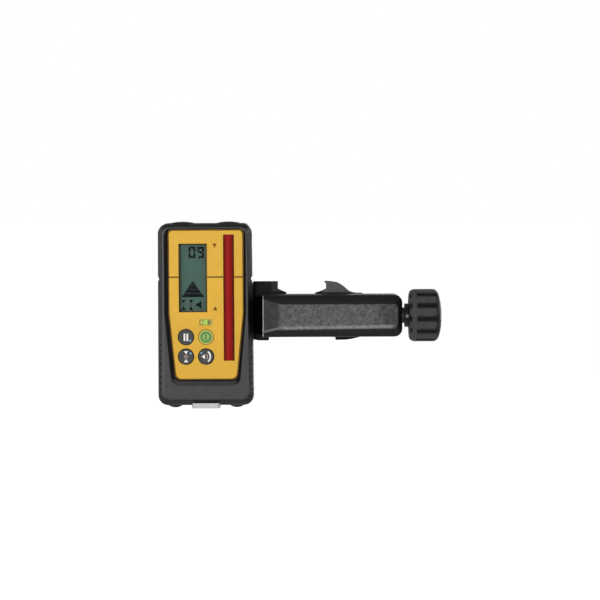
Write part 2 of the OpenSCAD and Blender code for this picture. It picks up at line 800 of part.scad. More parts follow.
// Pale latch: a foot in the door's lower edge and a tongue under the body to the front bevel
module door_latch() {
    foot_top = door_low + door_lip - fit;
    taper_end = latch_front + latch_taper;
    color("gainsboro") at_receiver() union() {
        rect_y(0, (foot_top + latch_low) / 2, latch_w, foot_top - latch_low, door_front, door_back);
        intersection() {
            along_x(-latch_w, latch_w) polygon(latch_profile(0, latch_low, door_back));
            translate([0, 0, latch_low]) linear_extrude(height = latch_lip_t)
                polygon(rounded([[-latch_tip_w / 2, latch_front], [latch_tip_w / 2, latch_front],
                    [latch_w / 2, taper_end], [latch_w / 2, door_back], [-latch_w / 2, door_back],
                    [-latch_w / 2, taper_end]], [latch_r, latch_r, latch_r, 0, 0, latch_r]));
        }
    }
}

// Flat rubber ring between the door and its ledge
module door_seal() {
    w = tray_len + 2 * slide_gap + 2 * door_seal_w;
    h = tray_h + 2 * slide_gap + 2 * door_seal_w;
    color("black") at_receiver() difference() {
        rect_y(0, bay_z, w, h, door_front - seat_t + fit, door_front);
        rect_y(0, bay_z, w - 2 * door_seal_w, h - 2 * door_seal_w, door_front - seat_t, body_d);
    }
}

// Steel pin through the door's barrel and the two ears
module door_hinge_pin() {
    color("silver") at_receiver()
        disc_x(hinge_y, hinge_z, hinge_pin_d,
            -barrel_len / 2 - ear_len + fit, barrel_len / 2 + ear_len - fit);
}

// Moulded thumbscrew through the clamp frame's plate into the receiver, its head hollow towards the plate
module mount_screw() {
    back = receiver_y + body_d;
    neck_y = back + plate_t + fit + mount_washer_t;
    head_y = neck_y + mount_neck_t;
    web_y = head_y + mount_head_t - mount_web_t;
    flute_ring = mount_head_d / 2 + mount_flute_r / 2;
    color("#1b1b1c") {
        difference() {
            disc_y(receiver_x, jaw_lift, mount_head_d, head_y, head_y + mount_head_t);
            disc_y(receiver_x, jaw_lift, mount_head_d - 2 * mount_rim, head_y - overrun, web_y);
            for (i = [0 : mount_flutes - 1]) let (a = 360 * i / mount_flutes)
                disc_y(receiver_x + flute_ring * cos(a), jaw_lift + flute_ring * sin(a),
                    2 * mount_flute_r, head_y - overrun, head_y + mount_head_t + overrun);
        }
        disc_y(receiver_x, jaw_lift, mount_neck_d, neck_y, web_y + skin);
        disc_y(receiver_x, jaw_lift, mount_d, back - mount_grip, neck_y + skin);
    }
}

// Washer between the clamp frame's plate and the thumbscrew
module mount_washer() {
    front = receiver_y + body_d + plate_t + fit;
    color("silver") difference() {
        disc_y(receiver_x, jaw_lift, mount_washer_d, front, front + mount_washer_t);
        disc_y(receiver_x, jaw_lift, mount_d + 2 * run_fit,
            front - overrun, front + mount_washer_t + overrun);
    }
}

// Lip of a jaw, in front of the throat: an upright edge, then a shallow scoop down to the top of the arm
function lip_points(flare_share, tip) =
    let (x = lip_inner, crest = arm_h / 2)
    concat([[jaw_x, -crest / 2], [jaw_x, jaw_top], [x - tip, jaw_top], [x, jaw_top - pointer_h]],
        [for (i = [0 : arc_steps]) let (t = flare_share * i / arc_steps)
            [x - flare_reach * t, crest + flare_h * (1 - t) * (1 - t)]],
        [[x - flare_reach * flare_share, -crest / 2]]);

// Clamp frame: plate behind the receiver, stiffening ribs, fixed jaw and its lip
module clamp_frame() {
    plate_y0 = receiver_y + body_d;
    plate_y1 = plate_y0 + plate_t;
    left = -(jaw_x + jaw_wall);
    rib_span = plate_h - 2 * rib_margin;
    color("#1e1e1f") difference() {
        union() {
            along_y(plate_y0, plate_y1)
                polygon(box_points(receiver_x - plate_half, jaw_lift - plate_h / 2, -jaw_x,
                    jaw_lift + plate_h / 2, plate_r));
            along_y(plate_y0, plate_y1)
                polygon(box_points(left - root_reach, jaw_low, left + 2 * jaw_r, jaw_top, jaw_r));
            along_y(arm_back, throat_back)
                polygon(rounded([[left, jaw_low], [-jaw_x, jaw_low], [-jaw_x, jaw_top], [left, jaw_top]],
                    [jaw_r, 0, 0, jaw_r]));
            along_y(arm_back, throat_front) mirror([1, 0]) polygon(lip_points(flare_fixed_share, 0));
            for (i = [0 : rib_count - 1])
                translate([0, 0, jaw_lift - rib_t / 2 + (i / (rib_count - 1) - 1 / 2) * rib_span])
                    linear_extrude(height = rib_t)
                        polygon([[left + skin, plate_y1 - skin], [left - rib_reach, plate_y1 - skin],
                            [left + skin, throat_back - jaw_r]]);
            for (side = [-1, 1])
                disc_y(receiver_x + side * peg_spread / 2, jaw_lift, peg_d,
                    plate_y0 - peg_len, plate_y0 + skin);
        }
        jaw_draft(left - root_reach - overrun, lip_inner);
        disc_y(receiver_x, jaw_lift, mount_d + 2 * mount_clear, plate_y0 - overrun, plate_y1 + overrun);
        for (side = [-1, 1])
            disc_y(arm_screw_x, side * arm_screw_z, arm_screw_d,
                arm_back - overrun, arm_back + arm_screw_len - flange_t);
    }
}

// Wedge above the jaws: their tops fall a little towards the back
module jaw_draft(x0, x1) {
    along_x(x0, x1) polygon([[throat_front, jaw_top], [throat_back + overrun, jaw_top - jaw_fall],
        [throat_back + overrun, jaw_top + overrun], [throat_front, jaw_top + overrun]]);
}

// Rubber facings of the two jaws
module jaw_facing(x0, x1) {
    difference() {
        along_x(x0, x1) polygon(box_points(throat_front + pad_margin, jaw_low + pad_margin,
            throat_back - pad_margin, jaw_top - pad_margin, pad_margin));
        translate([0, 0, -pad_margin]) jaw_draft(x0 - overrun, x1 + overrun);
    }
}
module fixed_jaw_pad() { color("#121212") jaw_facing(-jaw_x, -jaw_x + pad_t); }
module moving_jaw_pad() { color("#121212") jaw_facing(jaw_x - pad_t, jaw_x); }

// Clamp arm: bevelled bar with a channel for the screw, a slot behind and a flange on its left end
module clamp_arm() {
    color("#2a2a2b") difference() {
        union() {
            hull() {
                along_y(arm_front, arm_front + skin) polygon(box_points(arm_x0 + arm_bevel_left,
                    -arm_h / 2 + arm_bevel_z, arm_x1 - arm_end_r, arm_h / 2 - arm_bevel_z, arm_end_r / 2));
                along_y(arm_front + arm_left_drop, arm_back)
                    polygon(box_points(arm_x0, -arm_h / 2 + arm_left_drop,
                        arm_x0 + 2 * arm_bevel_left, arm_h / 2 - arm_left_drop, edge_r));
                along_y(arm_front + arm_bevel_y, arm_back)
                    polygon(rounded([[arm_x0, -arm_h / 2], [arm_x1, -arm_h / 2], [arm_x1, arm_h / 2],
                        [arm_x0, arm_h / 2]], [edge_r, arm_end_r, arm_end_r, edge_r]));
            }
            along_y(arm_back - flange_t, arm_back)
                polygon(box_points(flange_x0, -flange_h / 2, arm_x0 + arm_left_wall, flange_h / 2, jaw_r));
        }
        translate([channel_x0, arm_front + arm_wall, -channel_h / 2])
            cube([channel_x1 - channel_x0, arm_d - arm_wall - slot_wall, channel_h]);
        translate([channel_x0, arm_back - slot_wall - overrun, -slot_h / 2])
            cube([channel_x1 - channel_x0, slot_wall + 2 * overrun, slot_h]);
        disc_x(screw_y, 0, inner_bush_d + run_fit, channel_x0 - journal_len, channel_x0 + overrun);
        disc_x(screw_y, 0, outer_bush_d + run_fit, channel_x1 - overrun, arm_x1 + overrun);
        for (side = [-1, 1])
            disc_y(arm_screw_x, side * arm_screw_z, arm_screw_d + 2 * fit,
                arm_back - flange_t - overrun, arm_back + overrun);
    }
}

// Socket screws through the arm's flange into the clamp frame
module arm_screws() {
    head_y = arm_back - flange_t;
    color("#303030") for (side = [-1, 1]) {
        disc_y(arm_screw_x, side * arm_screw_z, arm_screw_d,
            head_y - skin, head_y + arm_screw_len - slide_gap);
        difference() {
            disc_y(arm_screw_x, side * arm_screw_z, arm_screw_head_d, head_y - arm_screw_head_t, head_y);
            along_y(head_y - arm_screw_head_t - overrun, head_y - arm_screw_head_t / 2)
                translate([arm_screw_x, side * arm_screw_z]) circle(d = arm_screw_d, $fn = 6);
        }
    }
}

// Plain bush in the arm's closed end
module inner_bush() {
    color("peru") difference() {
        disc_x(screw_y, 0, inner_bush_d, channel_x0 - journal_len, channel_x0);
        disc_x(screw_y, 0, journal_d + 2 * run_fit, channel_x0 - journal_len - overrun, channel_x0 + overrun);
    }
}

// Bush in the arm's open end, flanged inside the channel
module outer_bush() {
    color("peru") difference() {
        union() {
            disc_x(screw_y, 0, outer_bush_d, channel_x1 - skin, arm_x1 + bush_proud);
            disc_x(screw_y, 0, bush_flange_d, channel_x1 - bush_flange_t, channel_x1);
        }
        disc_x(screw_y, 0, screw_d + 2 * run_fit,
            channel_x1 - bush_flange_t - overrun, arm_x1 + bush_proud + overrun);
    }
}

// Clamp screw: journal in the inner bush, threaded length, plain shank into the knob
module clamp_screw() {
    color("darkgray") difference() {
        union() {
            disc_x(screw_y, 0, journal_d,
                channel_x0 - journal_len + slide_gap, channel_x0 + slide_gap + skin);
            disc_x(screw_y, 0, screw_d, channel_x0 + slide_gap, knob_x0 + knob_bore_len - slide_gap);
        }
        disc_y(collar_x0 + collar_len / 2, 0, pin_d, screw_y - collar_d, screw_y + collar_d);
    }
}

// Thrust washer and retaining ring that hold the screw in the arm's open end
module screw_ring(d, x0, x1) {
    difference() {
        disc_x(screw_y, 0, d, x0, x1);
        disc_x(screw_y, 0, screw_d, x0 - overrun, x1 + overrun);
    }
}
washer_x1 = channel_x1 - bush_flange_t - run_fit;
module thrust_washer() {
    color("silver") screw_ring(washer_d, washer_x1 - washer_t, washer_x1);
}
module retaining_ring() {
    color("dimgray") screw_ring(ring_d, washer_x1 - washer_t - ring_t, washer_x1 - washer_t);
}

// Steel collar on the screw, between the bush and the knob, with its cross pin
module knob_collar() {
    color("#151515") difference() {
        disc_x(screw_y, 0, collar_d, collar_x0, knob_x0);
        disc_x(screw_y, 0, screw_d, collar_x0 - overrun, knob_x0 + overrun);
        disc_y(collar_x0 + collar_len / 2, 0, pin_d, screw_y - collar_d, screw_y + collar_d);
    }
}
module collar_pin() {
    color("silver") disc_y(collar_x0 + collar_len / 2, 0, pin_d,
        screw_y - collar_d / 2 - pin_proud, screw_y + collar_d / 2);
}

// Fluted knob with a chamfered rim and a slightly domed end
module clamp_knob() {
    r = knob_d / 2;
    place = r + flute_r - flute_depth;
    color("#262627") difference() {
        translate([knob_x0, screw_y, 0]) rotate([0, 90, 0]) rotate_extrude()
            polygon(concat([[0, 0], [r - knob_chamfer, 0], [r, knob_chamfer]],
                [for (s = knob_nose_shares) [r - knob_nose * s.x, knob_len - knob_nose * s.y]],
                [[0, knob_len]]));
        for (i = [0 : knob_flutes - 1]) let (a = flute_phase + 360 * i / knob_flutes)
            disc_x(screw_y + place * cos(a), place * sin(a), 2 * flute_r,
                knob_x0 - overrun, knob_x1 + overrun);
        disc_x(screw_y, 0, screw_d, knob_x0 - overrun, knob_x0 + knob_bore_len);
    }
}

// Moving jaw: guide in the arm's channel, neck through the slot, upright wall, lip and sloping tail
function tail_points() =
    let (up = jaw_top - arm_h / 2, down = -arm_h / 2 - jaw_low)
    concat([[jaw_x, jaw_low]],
        [for (s = tail_low_shares) [jaw_x + tail_len * s.x, -arm_h / 2 - down * s.y]],
        [for (i = [len(tail_top_shares) - 1 : -1 : 0]) let (s = tail_top_shares[i])
            [jaw_x + tail_len * s.x, arm_h / 2 + up * s.y]],
        [[jaw_x, jaw_top]]);
module moving_jaw() {
    front = arm_back + lip_gap;
    color("#232324") difference() {
        union() {
            translate([guide_x0, arm_front + arm_wall + slide_gap, -channel_h / 2 + slide_gap])
                cube([guide_len, arm_d - arm_wall - slot_wall - 2 * slide_gap, channel_h - 2 * slide_gap]);
            translate([guide_x0, arm_back - slot_wall - slide_gap - skin, -slot_h / 2 + slide_gap])
                cube([guide_len, slot_wall + slide_gap + lip_gap + 2 * skin, slot_h - 2 * slide_gap]);
            along_y(front, front + tail_y) polygon(tail_points());
            along_y(front, throat_back) intersection() {
                polygon(tail_points());
                translate([jaw_x, jaw_low]) square([jaw_wall_t, jaw_h]);
            }
            along_y(front, throat_front) polygon(lip_points(flare_moving_share, pointer_reach));
            for (i = [0 : rib_count - 1])
                translate([0, 0, -slot_h / 2 + i * (slot_h - rib_t) / (rib_count - 1)])
                    linear_extrude(height = rib_t)
                        polygon([[jaw_x + jaw_wall_t - skin, front + tail_y - skin],
                            [jaw_x + tail_len * jaw_rib_share, front + tail_y - skin],
                            [jaw_x + jaw_wall_t - skin, throat_back - jaw_r]]);
        }
        jaw_draft(-lip_inner, jaw_x + tail_len + overrun);
        disc_x(screw_y, 0, nut_d, guide_x0 - overrun, guide_x0 + nut_len);
        disc_x(screw_y, 0, screw_d + 2 * slide_gap, guide_x0 - overrun, guide_x0 + guide_len + overrun);
    }
}

// Brass nut pressed into the moving jaw
module jaw_nut() {
    color("peru") difference() {
        disc_x(screw_y, 0, nut_d, guide_x0, guide_x0 + nut_len);
        disc_x(screw_y, 0, screw_d + 2 * run_fit, guide_x0 - overrun, guide_x0 + nut_len + overrun);
    }
}

front_housing();
rear_housing();
housing_seal();
housing_screws();
face_panel();
display_window();
lcd_module();
sensor_window();
sensor_board();
photodiodes();
main_board();
key_switches();
sounder();
status_light();
power_key();
hold_key();
precision_key();
sound_key();
top_bumpers();
bottom_feet();
threaded_insert();
battery_tray();
battery_contacts();
battery_springs();
battery_cells();
battery_door();
door_latch();
door_seal();
door_hinge_pin();
mount_screw();
mount_washer();
clamp_frame();
fixed_jaw_pad();
clamp_arm();
arm_screws();
inner_bush();
outer_bush();
clamp_screw();
thrust_washer();
retaining_ring();
knob_collar();
collar_pin();
clamp_knob();
moving_jaw();
jaw_nut();
moving_jaw_pad();
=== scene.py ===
from math import atan2, ceil, copysign, cos, exp, log, pi, radians, sin, sqrt, tan

import bmesh
import bpy
from mathutils import Matrix, Vector
from mathutils.geometry import tessellate_polygon


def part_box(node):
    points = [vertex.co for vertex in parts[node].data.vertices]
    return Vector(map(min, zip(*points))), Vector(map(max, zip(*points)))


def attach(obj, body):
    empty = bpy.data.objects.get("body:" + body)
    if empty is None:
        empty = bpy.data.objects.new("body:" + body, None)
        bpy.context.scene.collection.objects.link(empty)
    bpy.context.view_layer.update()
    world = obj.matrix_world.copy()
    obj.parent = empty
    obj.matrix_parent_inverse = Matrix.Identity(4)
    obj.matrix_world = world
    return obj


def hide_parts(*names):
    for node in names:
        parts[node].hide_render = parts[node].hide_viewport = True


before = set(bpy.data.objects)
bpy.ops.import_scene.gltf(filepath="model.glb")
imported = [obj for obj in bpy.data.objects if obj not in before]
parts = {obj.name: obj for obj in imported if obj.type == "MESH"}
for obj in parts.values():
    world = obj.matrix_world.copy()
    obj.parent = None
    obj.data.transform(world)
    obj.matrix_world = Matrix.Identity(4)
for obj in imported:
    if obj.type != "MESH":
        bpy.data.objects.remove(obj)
for spare in ("Cube", "Light", "Camera"):
    if spare in bpy.data.objects:
        bpy.data.objects.remove(bpy.data.objects[spare])
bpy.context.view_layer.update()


# Camera
# A long lens 1.6 m off, four degrees above the receiver and square on to its display.
# It leans a quarter of a degree, so the clamp's knob stands a touch higher than the receiver.
def put(name, data):
    thing = bpy.data.objects.new(name, data)
    bpy.context.scene.collection.objects.link(thing)
    return thing


lens = bpy.data.cameras.new("camera")
lens.sensor_width = 36
lens.lens = 132.2
lens.clip_end = 40
camera = put("camera", lens)
aim = Vector((-0.00147, -0.029, 0.0114))
distance = 1.6
rise = radians(4)
lean = Matrix.Rotation(radians(-0.25), 3, "Z")
camera.location = aim + distance * Vector((0, -cos(rise), sin(rise)))
camera.rotation_euler = ((aim - camera.location).to_track_quat("-Z", "Y").to_matrix() @ lean).to_euler()
bpy.context.scene.camera = camera
bpy.context.scene.view_settings.view_transform = "Standard"


# Floor and light
# A white board below the receiver, and soft boxes in front on the left, to the right, at both sides, above
# and behind. The room's walls are white where they are seen or mirrored, its ceiling is dark, and the light
# that they throw on the receiver is dim.
white = (1, 1, 1, 1)


def feed(tree, target, values):
    for socket, value in values.items():
        if isinstance(value, bpy.types.NodeSocket):
            tree.links.new(value, target.inputs[socket])
        else:
            target.inputs[socket].default_value = value


def add_node(tree, kind, values=None, **settings):
    made = tree.nodes.new("ShaderNode" + kind)
    for setting, value in settings.items():
        setattr(made, setting, value)
    feed(tree, made, values or {})
    return made


def maths(tree, operation, *values):
    return add_node(tree, "Math", dict(enumerate(values)), operation=operation).outputs[0]


def ramp(tree, value, start, end, kind="SMOOTHSTEP", low=0.0, high=1.0):
    values = {"Value": value, "From Min": start, "From Max": end, "To Min": low, "To Max": high}
    return add_node(tree, "MapRange", values, interpolation_type=kind).outputs[0]


def split_up(tree, place):
    return add_node(tree, "SeparateXYZ", {0: place}).outputs


def choose_shader(tree, output, mask, shader, other):
    chosen = add_node(tree, "MixShader", {0: mask, 1: shader.outputs[0], 2: other.outputs[0]})
    feed(tree, tree.nodes[output], {"Surface": chosen.outputs[0]})


def new_material(name):
    material = bpy.data.materials.new(name)
    material.use_nodes = True
    return material, material.node_tree, material.node_tree.nodes["Principled BSDF"]


def seen_or_mirrored(tree):
    path = add_node(tree, "LightPath").outputs
    mask = path["Is Camera Ray"]
    for label in ("Is Glossy Ray", "Is Transmission Ray"):
        mask = maths(tree, "MAXIMUM", mask, path[label])
    return mask


room = bpy.data.worlds.new("room")
room.use_nodes = True
room_tree = room.node_tree
dim_light = room_tree.nodes["Background"]
feed(room_tree, dim_light, {"Color": white, "Strength": 0.3})
white_wall = add_node(room_tree, "Background", {"Color": white, "Strength": 1})
room_way = add_node(room_tree, "TexCoord").outputs["Generated"]
below_ceiling = ramp(room_tree, split_up(room_tree, room_way)["Z"], 0.55, 0.25)
wall_seen = maths(room_tree, "MULTIPLY", below_ceiling, seen_or_mirrored(room_tree))
choose_shader(room_tree, "World Output", wall_seen, dim_light, white_wall)
bpy.context.scene.world = room

floor_z = -0.42
floor_mesh = bpy.data.meshes.new("floor")
floor_corners = ((-9, -9), (9, -9), (9, 14), (-9, 14))
floor_mesh.from_pydata([(x, y, floor_z) for x, y in floor_corners], [], [(0, 1, 2, 3)])
floor = put("floor", floor_mesh)
floor_white, floor_tree, board = new_material("floor_white")
floor_lift = maths(floor_tree, "MULTIPLY", seen_or_mirrored(floor_tree), 0.87)
feed(floor_tree, board, {"Base Color": (0.5, 0.5, 0.5, 1), "Roughness": 0.95, "Specular IOR Level": 0,
                         "Emission Color": white, "Emission Strength": floor_lift})
from_below = add_node(floor_tree, "NewGeometry").outputs["Backfacing"]
choose_shader(floor_tree, "Material Output", from_below, board, add_node(floor_tree, "BsdfTransparent"))
floor_mesh.materials.append(floor_white)

lamp_aim = Vector((-0.02, -0.03, 0))
for lamp_name, place, power, size in (
    ("front_box", (-0.4, -1.6, 0.3), 14.2, 0.42),
    ("right_box", (1.2, -1.2, 0.1), 3.5, 0.7),
    ("top_box", (0.1, 0.2, 1.8), 6, 1.2),
    ("left_box", (-1.9, 0.4, 0.3), 22, 0.8),
    ("far_right_box", (1.9, 0.5, 0.3), 22, 0.8),
    ("back_box", (0.6, 1.8, 0.2), 20, 0.8),
):
    lamp = bpy.data.lights.new(lamp_name, "AREA")
    lamp.energy = power
    lamp.size = size
    holder = put(lamp_name, lamp)
    holder.location = place
    holder.rotation_euler = (lamp_aim - Vector(place)).to_track_quat("-Z", "Y").to_euler()


# Front housing
# The moulded half that carries the display: a bevelled bezel, a shallow bowl round the panel, a floor with
# the openings for display, window and keys, and grip grooves low on both sides. Grey fine-grained plastic.
corner_low, corner_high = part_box("front_housing")
body_x = (corner_low.x + corner_high.x) / 2
body_y = corner_low.y
body_z = (corner_low.z + corner_high.z) / 2
body_half_low, body_half_top, body_half_tall, body_corner = 34.75, 34.2, 66, 7.2
wall_inset, lip_inset, joint_depth = 2.8, 0.3, 13
floor_front, floor_back = 2.6, 4.6
crease = 38
hub_x, hub_z = 0.0, 4.0


# millimetres across and up from the body's middle, and back from its front
def on_body(x, depth, z):
    return Vector((body_x + x / 1000, body_y + depth / 1000, body_z + z / 1000))


def body_ring(outline, depth):
    return [on_body(x, depth, z) for x, z in outline]


def rounded(corners, radii, steps=10):
    outline = []
    for i, radius in enumerate(radii):
        tip = Vector(corners[i])
        back = (Vector(corners[i - 1]) - tip).normalized()
        ahead = (Vector(corners[(i + 1) % len(corners)]) - tip).normalized()
        half = back.angle(ahead) / 2
        middle = tip + (back + ahead).normalized() * (radius / sin(half))
        start = tip + back * (radius / tan(half)) - middle
        end = tip + ahead * (radius / tan(half)) - middle
        a = atan2(start.y, start.x)
        sweep = (atan2(end.y, end.x) - a + pi) % (2 * pi) - pi
        outline += [(middle.x + radius * cos(a + sweep * k / steps),
                     middle.y + radius * sin(a + sweep * k / steps)) for k in range(steps + 1)]
    return outline


def body_outline(inset):
    low, top, tall = body_half_low - inset, body_half_top - inset, body_half_tall - inset
    corners = [(-low, -tall), (low, -tall), (top, tall), (-top, tall)]
    return rounded(corners, [body_corner - inset] * 4)


def panel_outline(side, top, bottom, shift=0.7):
    low, up, grow = 22.4 + side, 27.2 + side, max(side, 0)
    low_z, bend_z, top_z = -46.7 - bottom, 1.4, 62 + top
    corners = [(-low, low_z), (low, low_z), (up, bend_z), (up, top_z), (-up, top_z), (-up, bend_z)]
    radii = [4 + grow, 4 + grow, 18, 2.6 + grow, 2.6 + grow, 18]
    return rounded([(shift + x, z) for x, z in corners], radii)


# angles round the hub that meet the outlines' corners, with more between them where they stand far apart
def spoke_angles(*outlines):
    least_gap, most_gap = 0.003, 0.07
    kept = []
    for a in sorted(atan2(z - hub_z, x - hub_x) for outline in outlines for x, z in outline):
        if not kept or a - kept[-1] > least_gap:
            kept.append(a)
    filled = []
    for a, b in zip(kept, kept[1:] + [kept[0] + 2 * pi]):
        gaps = max(1, ceil((b - a) / most_gap))
        filled += [a + (b - a) * k / gaps for k in range(gaps)]
    return filled


# the points where spokes from the hub cross an outline
def spoke_ring(outline, angles):
    ring = []
    for a in angles:
        dx, dz = cos(a), sin(a)
        reach = 0
        for (x0, z0), (x1, z1) in zip(outline, outline[1:] + outline[:1]):
            ex, ez = x1 - x0, z1 - z0
            wx, wz = x0 - hub_x, z0 - hub_z
            cross = dx * ez - dz * ex
            if abs(cross) > 1e-12:
                t = (wx * ez - wz * ex) / cross
                s = (wx * dz - wz * dx) / cross
                if t > 0 and -1e-7 <= s <= 1 + 1e-7:
                    reach = max(reach, t)
        ring.append((hub_x + reach * dx, hub_z + reach * dz))
    return ring


def between(ring_a, ring_b, t):
    return [(ax + (bx - ax) * t, az + (bz - az) * t) for (ax, az), (bx, bz) in zip(ring_a, ring_b)]


def eased(p0, p1, p2, steps=5):
    return [tuple((1 - t) ** 2 * a + 2 * t * (1 - t) * b + t * t * c for a, b, c in zip(p0, p1, p2))
            for t in (k / steps for k in range(steps + 1))]


def loft(rings, ends=True):
    count = len(rings[0])
    points = [p for ring in rings for p in ring]
    faces = [(a + i, a + (i + 1) % count, a + count + (i + 1) % count, a + count + i)
             for a in range(0, len(points) - count, count) for i in range(count)]
    if ends:
        faces += [tuple(range(count)), tuple(range(len(points) - count, len(points)))]
    return points, faces


def new_piece(name, solid, finish, body="receiver", sharp=crease):
    points, faces = solid
    mesh = bpy.data.meshes.new(name)
    mesh.from_pydata([tuple(p) for p in points], [], faces)
    work = bmesh.new()
    work.from_mesh(mesh)
    bmesh.ops.remove_doubles(work, verts=work.verts, dist=1e-7)
    bmesh.ops.recalc_face_normals(work, faces=work.faces)
    work.to_mesh(mesh)
    work.free()
    mesh.shade_smooth()
    mesh.set_sharp_from_angle(angle=radians(sharp))
    mesh.materials.append(finish)
    piece = put(name, mesh)
    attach(piece, body)
    return piece


def turns(count):
    return [2 * pi * k / count for k in range(count)]


def circle(x, z, radius, count=40):
    return [(x + radius * cos(a), z + radius * sin(a)) for a in turns(count)]


def rect(x, z, w, h):
    return [(x - w / 2, z - h / 2), (x + w / 2, z - h / 2), (x + w / 2, z + h / 2), (x - w / 2, z + h / 2)]


def cut_away(piece, boxes=(), rods=(), prisms=()):
    cutter_mesh = bpy.data.meshes.new("cutter")
    work = bmesh.new()
    for place in boxes:
        bmesh.ops.create_cube(work, size=1, matrix=place)
    for place, radius, length in rods:
        bmesh.ops.create_cone(work, cap_ends=True, segments=40, radius1=radius, radius2=radius, depth=length,
                              matrix=place)
    for outline in prisms:
        lower, upper = ([work.verts.new(p) for p in ring] for ring in outline)
        work.faces.new(lower)
        work.faces.new(upper[::-1])
        for i in range(len(lower)):
            work.faces.new((lower[i - 1], lower[i], upper[i], upper[i - 1]))
    bmesh.ops.recalc_face_normals(work, faces=work.faces)
    work.to_mesh(cutter_mesh)
    work.free()
    cutter = put("cutter", cutter_mesh)
    cut = piece.modifiers.new("cut", "BOOLEAN")
    cut.operation = "DIFFERENCE"
    cut.solver = "EXACT"
    cut.use_self = True
    cut.object = cutter
    bpy.context.view_layer.update()
    shaped = bpy.data.meshes.new_from_object(piece.evaluated_get(bpy.context.evaluated_depsgraph_get()))
    piece.modifiers.clear()
    shaped.shade_smooth()
    shaped.set_sharp_from_angle(angle=radians(crease))
    piece.data = shaped
    bpy.data.objects.remove(cutter)


def box_place(x, depth, z, w, d, h, turn=0):
    return (Matrix.Translation(on_body(x, depth, z)) @ Matrix.Rotation(turn, 4, "Z")
            @ Matrix.Diagonal((w / 1000, d / 1000, h / 1000, 1)))


# a colour as it shows on screen, turned into the light that a shader works with
def paint(r, g, b):
    return tuple(((c / 255 + 0.055) / 1.055) ** 2.4 if c > 10 else c / 255 / 12.92 for c in (r, g, b)) + (1,)


def scaled(colour, share):
    return tuple(c * share for c in colour[:3]) + (1,)


def own_place(tree):
    return add_node(tree, "TexCoord").outputs["Object"]


def noise(tree, place, scale, detail=2, roughness=0.5):
    values = {"Vector": place, "Scale": scale, "Detail": detail, "Roughness": roughness}
    return add_node(tree, "TexNoise", values).outputs["Fac"]


# heights of a fine pebble and tones of slow blotches, both sized in millimetres
def moulded_grain(tree, pebble, blotch):
    return [ramp(tree, noise(tree, own_place(tree), 1000 / size, detail, 0.6), 0.3, 0.7, "LINEAR")
            for size, detail in ((pebble, 3), (blotch, 4))]


# ridges that hands polish, broken up by a slow noise
def rubbed_edges(tree):
    shape = add_node(tree, "NewGeometry").outputs["Pointiness"]
    ridge = ramp(tree, shape, 0.51, 0.57, "LINEAR")
    return maths(tree, "MULTIPLY", ridge, noise(tree, own_place(tree), 250))


def mixed(tree, factor, a, b):
    return add_node(tree, "Mix", {0: factor, 6: a, 7: b}, data_type="RGBA").outputs[2]


# full on faces square to the front, none on faces that turn away from it
def facing(tree, start, full):
    normal = add_node(tree, "TexCoord").outputs["Normal"]
    return ramp(tree, maths(tree, "MULTIPLY", split_up(tree, normal)["Y"], -1), start, full)


# full close to a level line on the piece and none away from it; lean tilts the line along X
def near(tree, axis, place, full, none, lean=0.0):
    split = split_up(tree, own_place(tree))
    level = maths(tree, "MULTIPLY_ADD", split["X"], -lean, split[axis])
    away = maths(tree, "ABSOLUTE", maths(tree, "SUBTRACT", level, place))
    return ramp(tree, away, none, full)


# relief is the height of the grain in thousandths of a millimetre
def textured(tree, shader, colour, sheen, dull_from, dull_to, height, strength, relief):
    roughness = ramp(tree, sheen, 0, 1, "LINEAR", dull_from, dull_to)
    bump = add_node(tree, "Bump", {"Strength": strength, "Distance": relief / 1000000, "Height": height})
    feed(tree, shader, {"Base Color": colour, "Roughness": roughness, "Normal": bump.outputs[0]})


# colour is one paint, or a function that mixes paints over the piece; wear then lightens the paint in under
def moulded(name, colour, roughness, pebble=0.3, relief=20, blotch=6.0, tone=0.08, rub=0.0, specular=0.4,
            under=None):
    finish, tree, shader = new_material(name)
    shader.inputs["Specular IOR Level"].default_value = specular
    height, tones = moulded_grain(tree, pebble, blotch)
    if callable(colour):
        skin = colour(tree, tones)
    else:
        skin = mixed(tree, tones, scaled(colour, 1 - tone), scaled(colour, 1 + tone))
    if rub:
        wear_and_highlight = tuple(min(1, c * (1 + rub) + 0.012 * rub) for c in (under or colour)[:3]) + (1,)
        skin = mixed(tree, rubbed_edges(tree), skin, wear_and_highlight)
    textured(tree, shader, skin, tones, roughness - 0.06, roughness + 0.06, height, 0.7, relief)
    return finish


side_grey = paint(42, 42, 43)


# Painted light and shade: faces square to the front take the light grey, and a painted highlight runs along
# the left ridge. Faces that turn part way from the front are painted near black as shade, and the sides and
# back take a middle grey.
def bezel_colour(tree, tones):
    ridge = mixed(tree, tones, paint(70, 70, 71), paint(77, 77, 78))
    ridge = mixed(tree, near(tree, "X", on_body(-30.6, 0, 0).x, 0.0005, 0.0015), ridge, paint(86, 86, 87))
    shaded_slopes = mixed(tree, facing(tree, 0.9, 0.995), paint(10, 10, 11), ridge)
    return mixed(tree, facing(tree, 0.03, 0.22), side_grey, shaded_slopes)


housing_grey = moulded("housing_grey_plastic", bezel_colour, 0.46, pebble=0.5, relief=30, rub=0.35,
                       specular=0.06, under=side_grey)

key_centres = {"hold": (-14, -15.7), "power": (0.5, -15.7), "precision": (-14, -29.9), "sound": (0.5, -29.9)}
openings = [rect(-8.7, 27.1, 20.6, 49.6), rect(17.2, 12.7, 7.8, 91.4),
            rect(0.5, -5.0, 9.2, 4.3)]
openings += [circle(x, z, 5.8) for x, z in key_centres.values()]

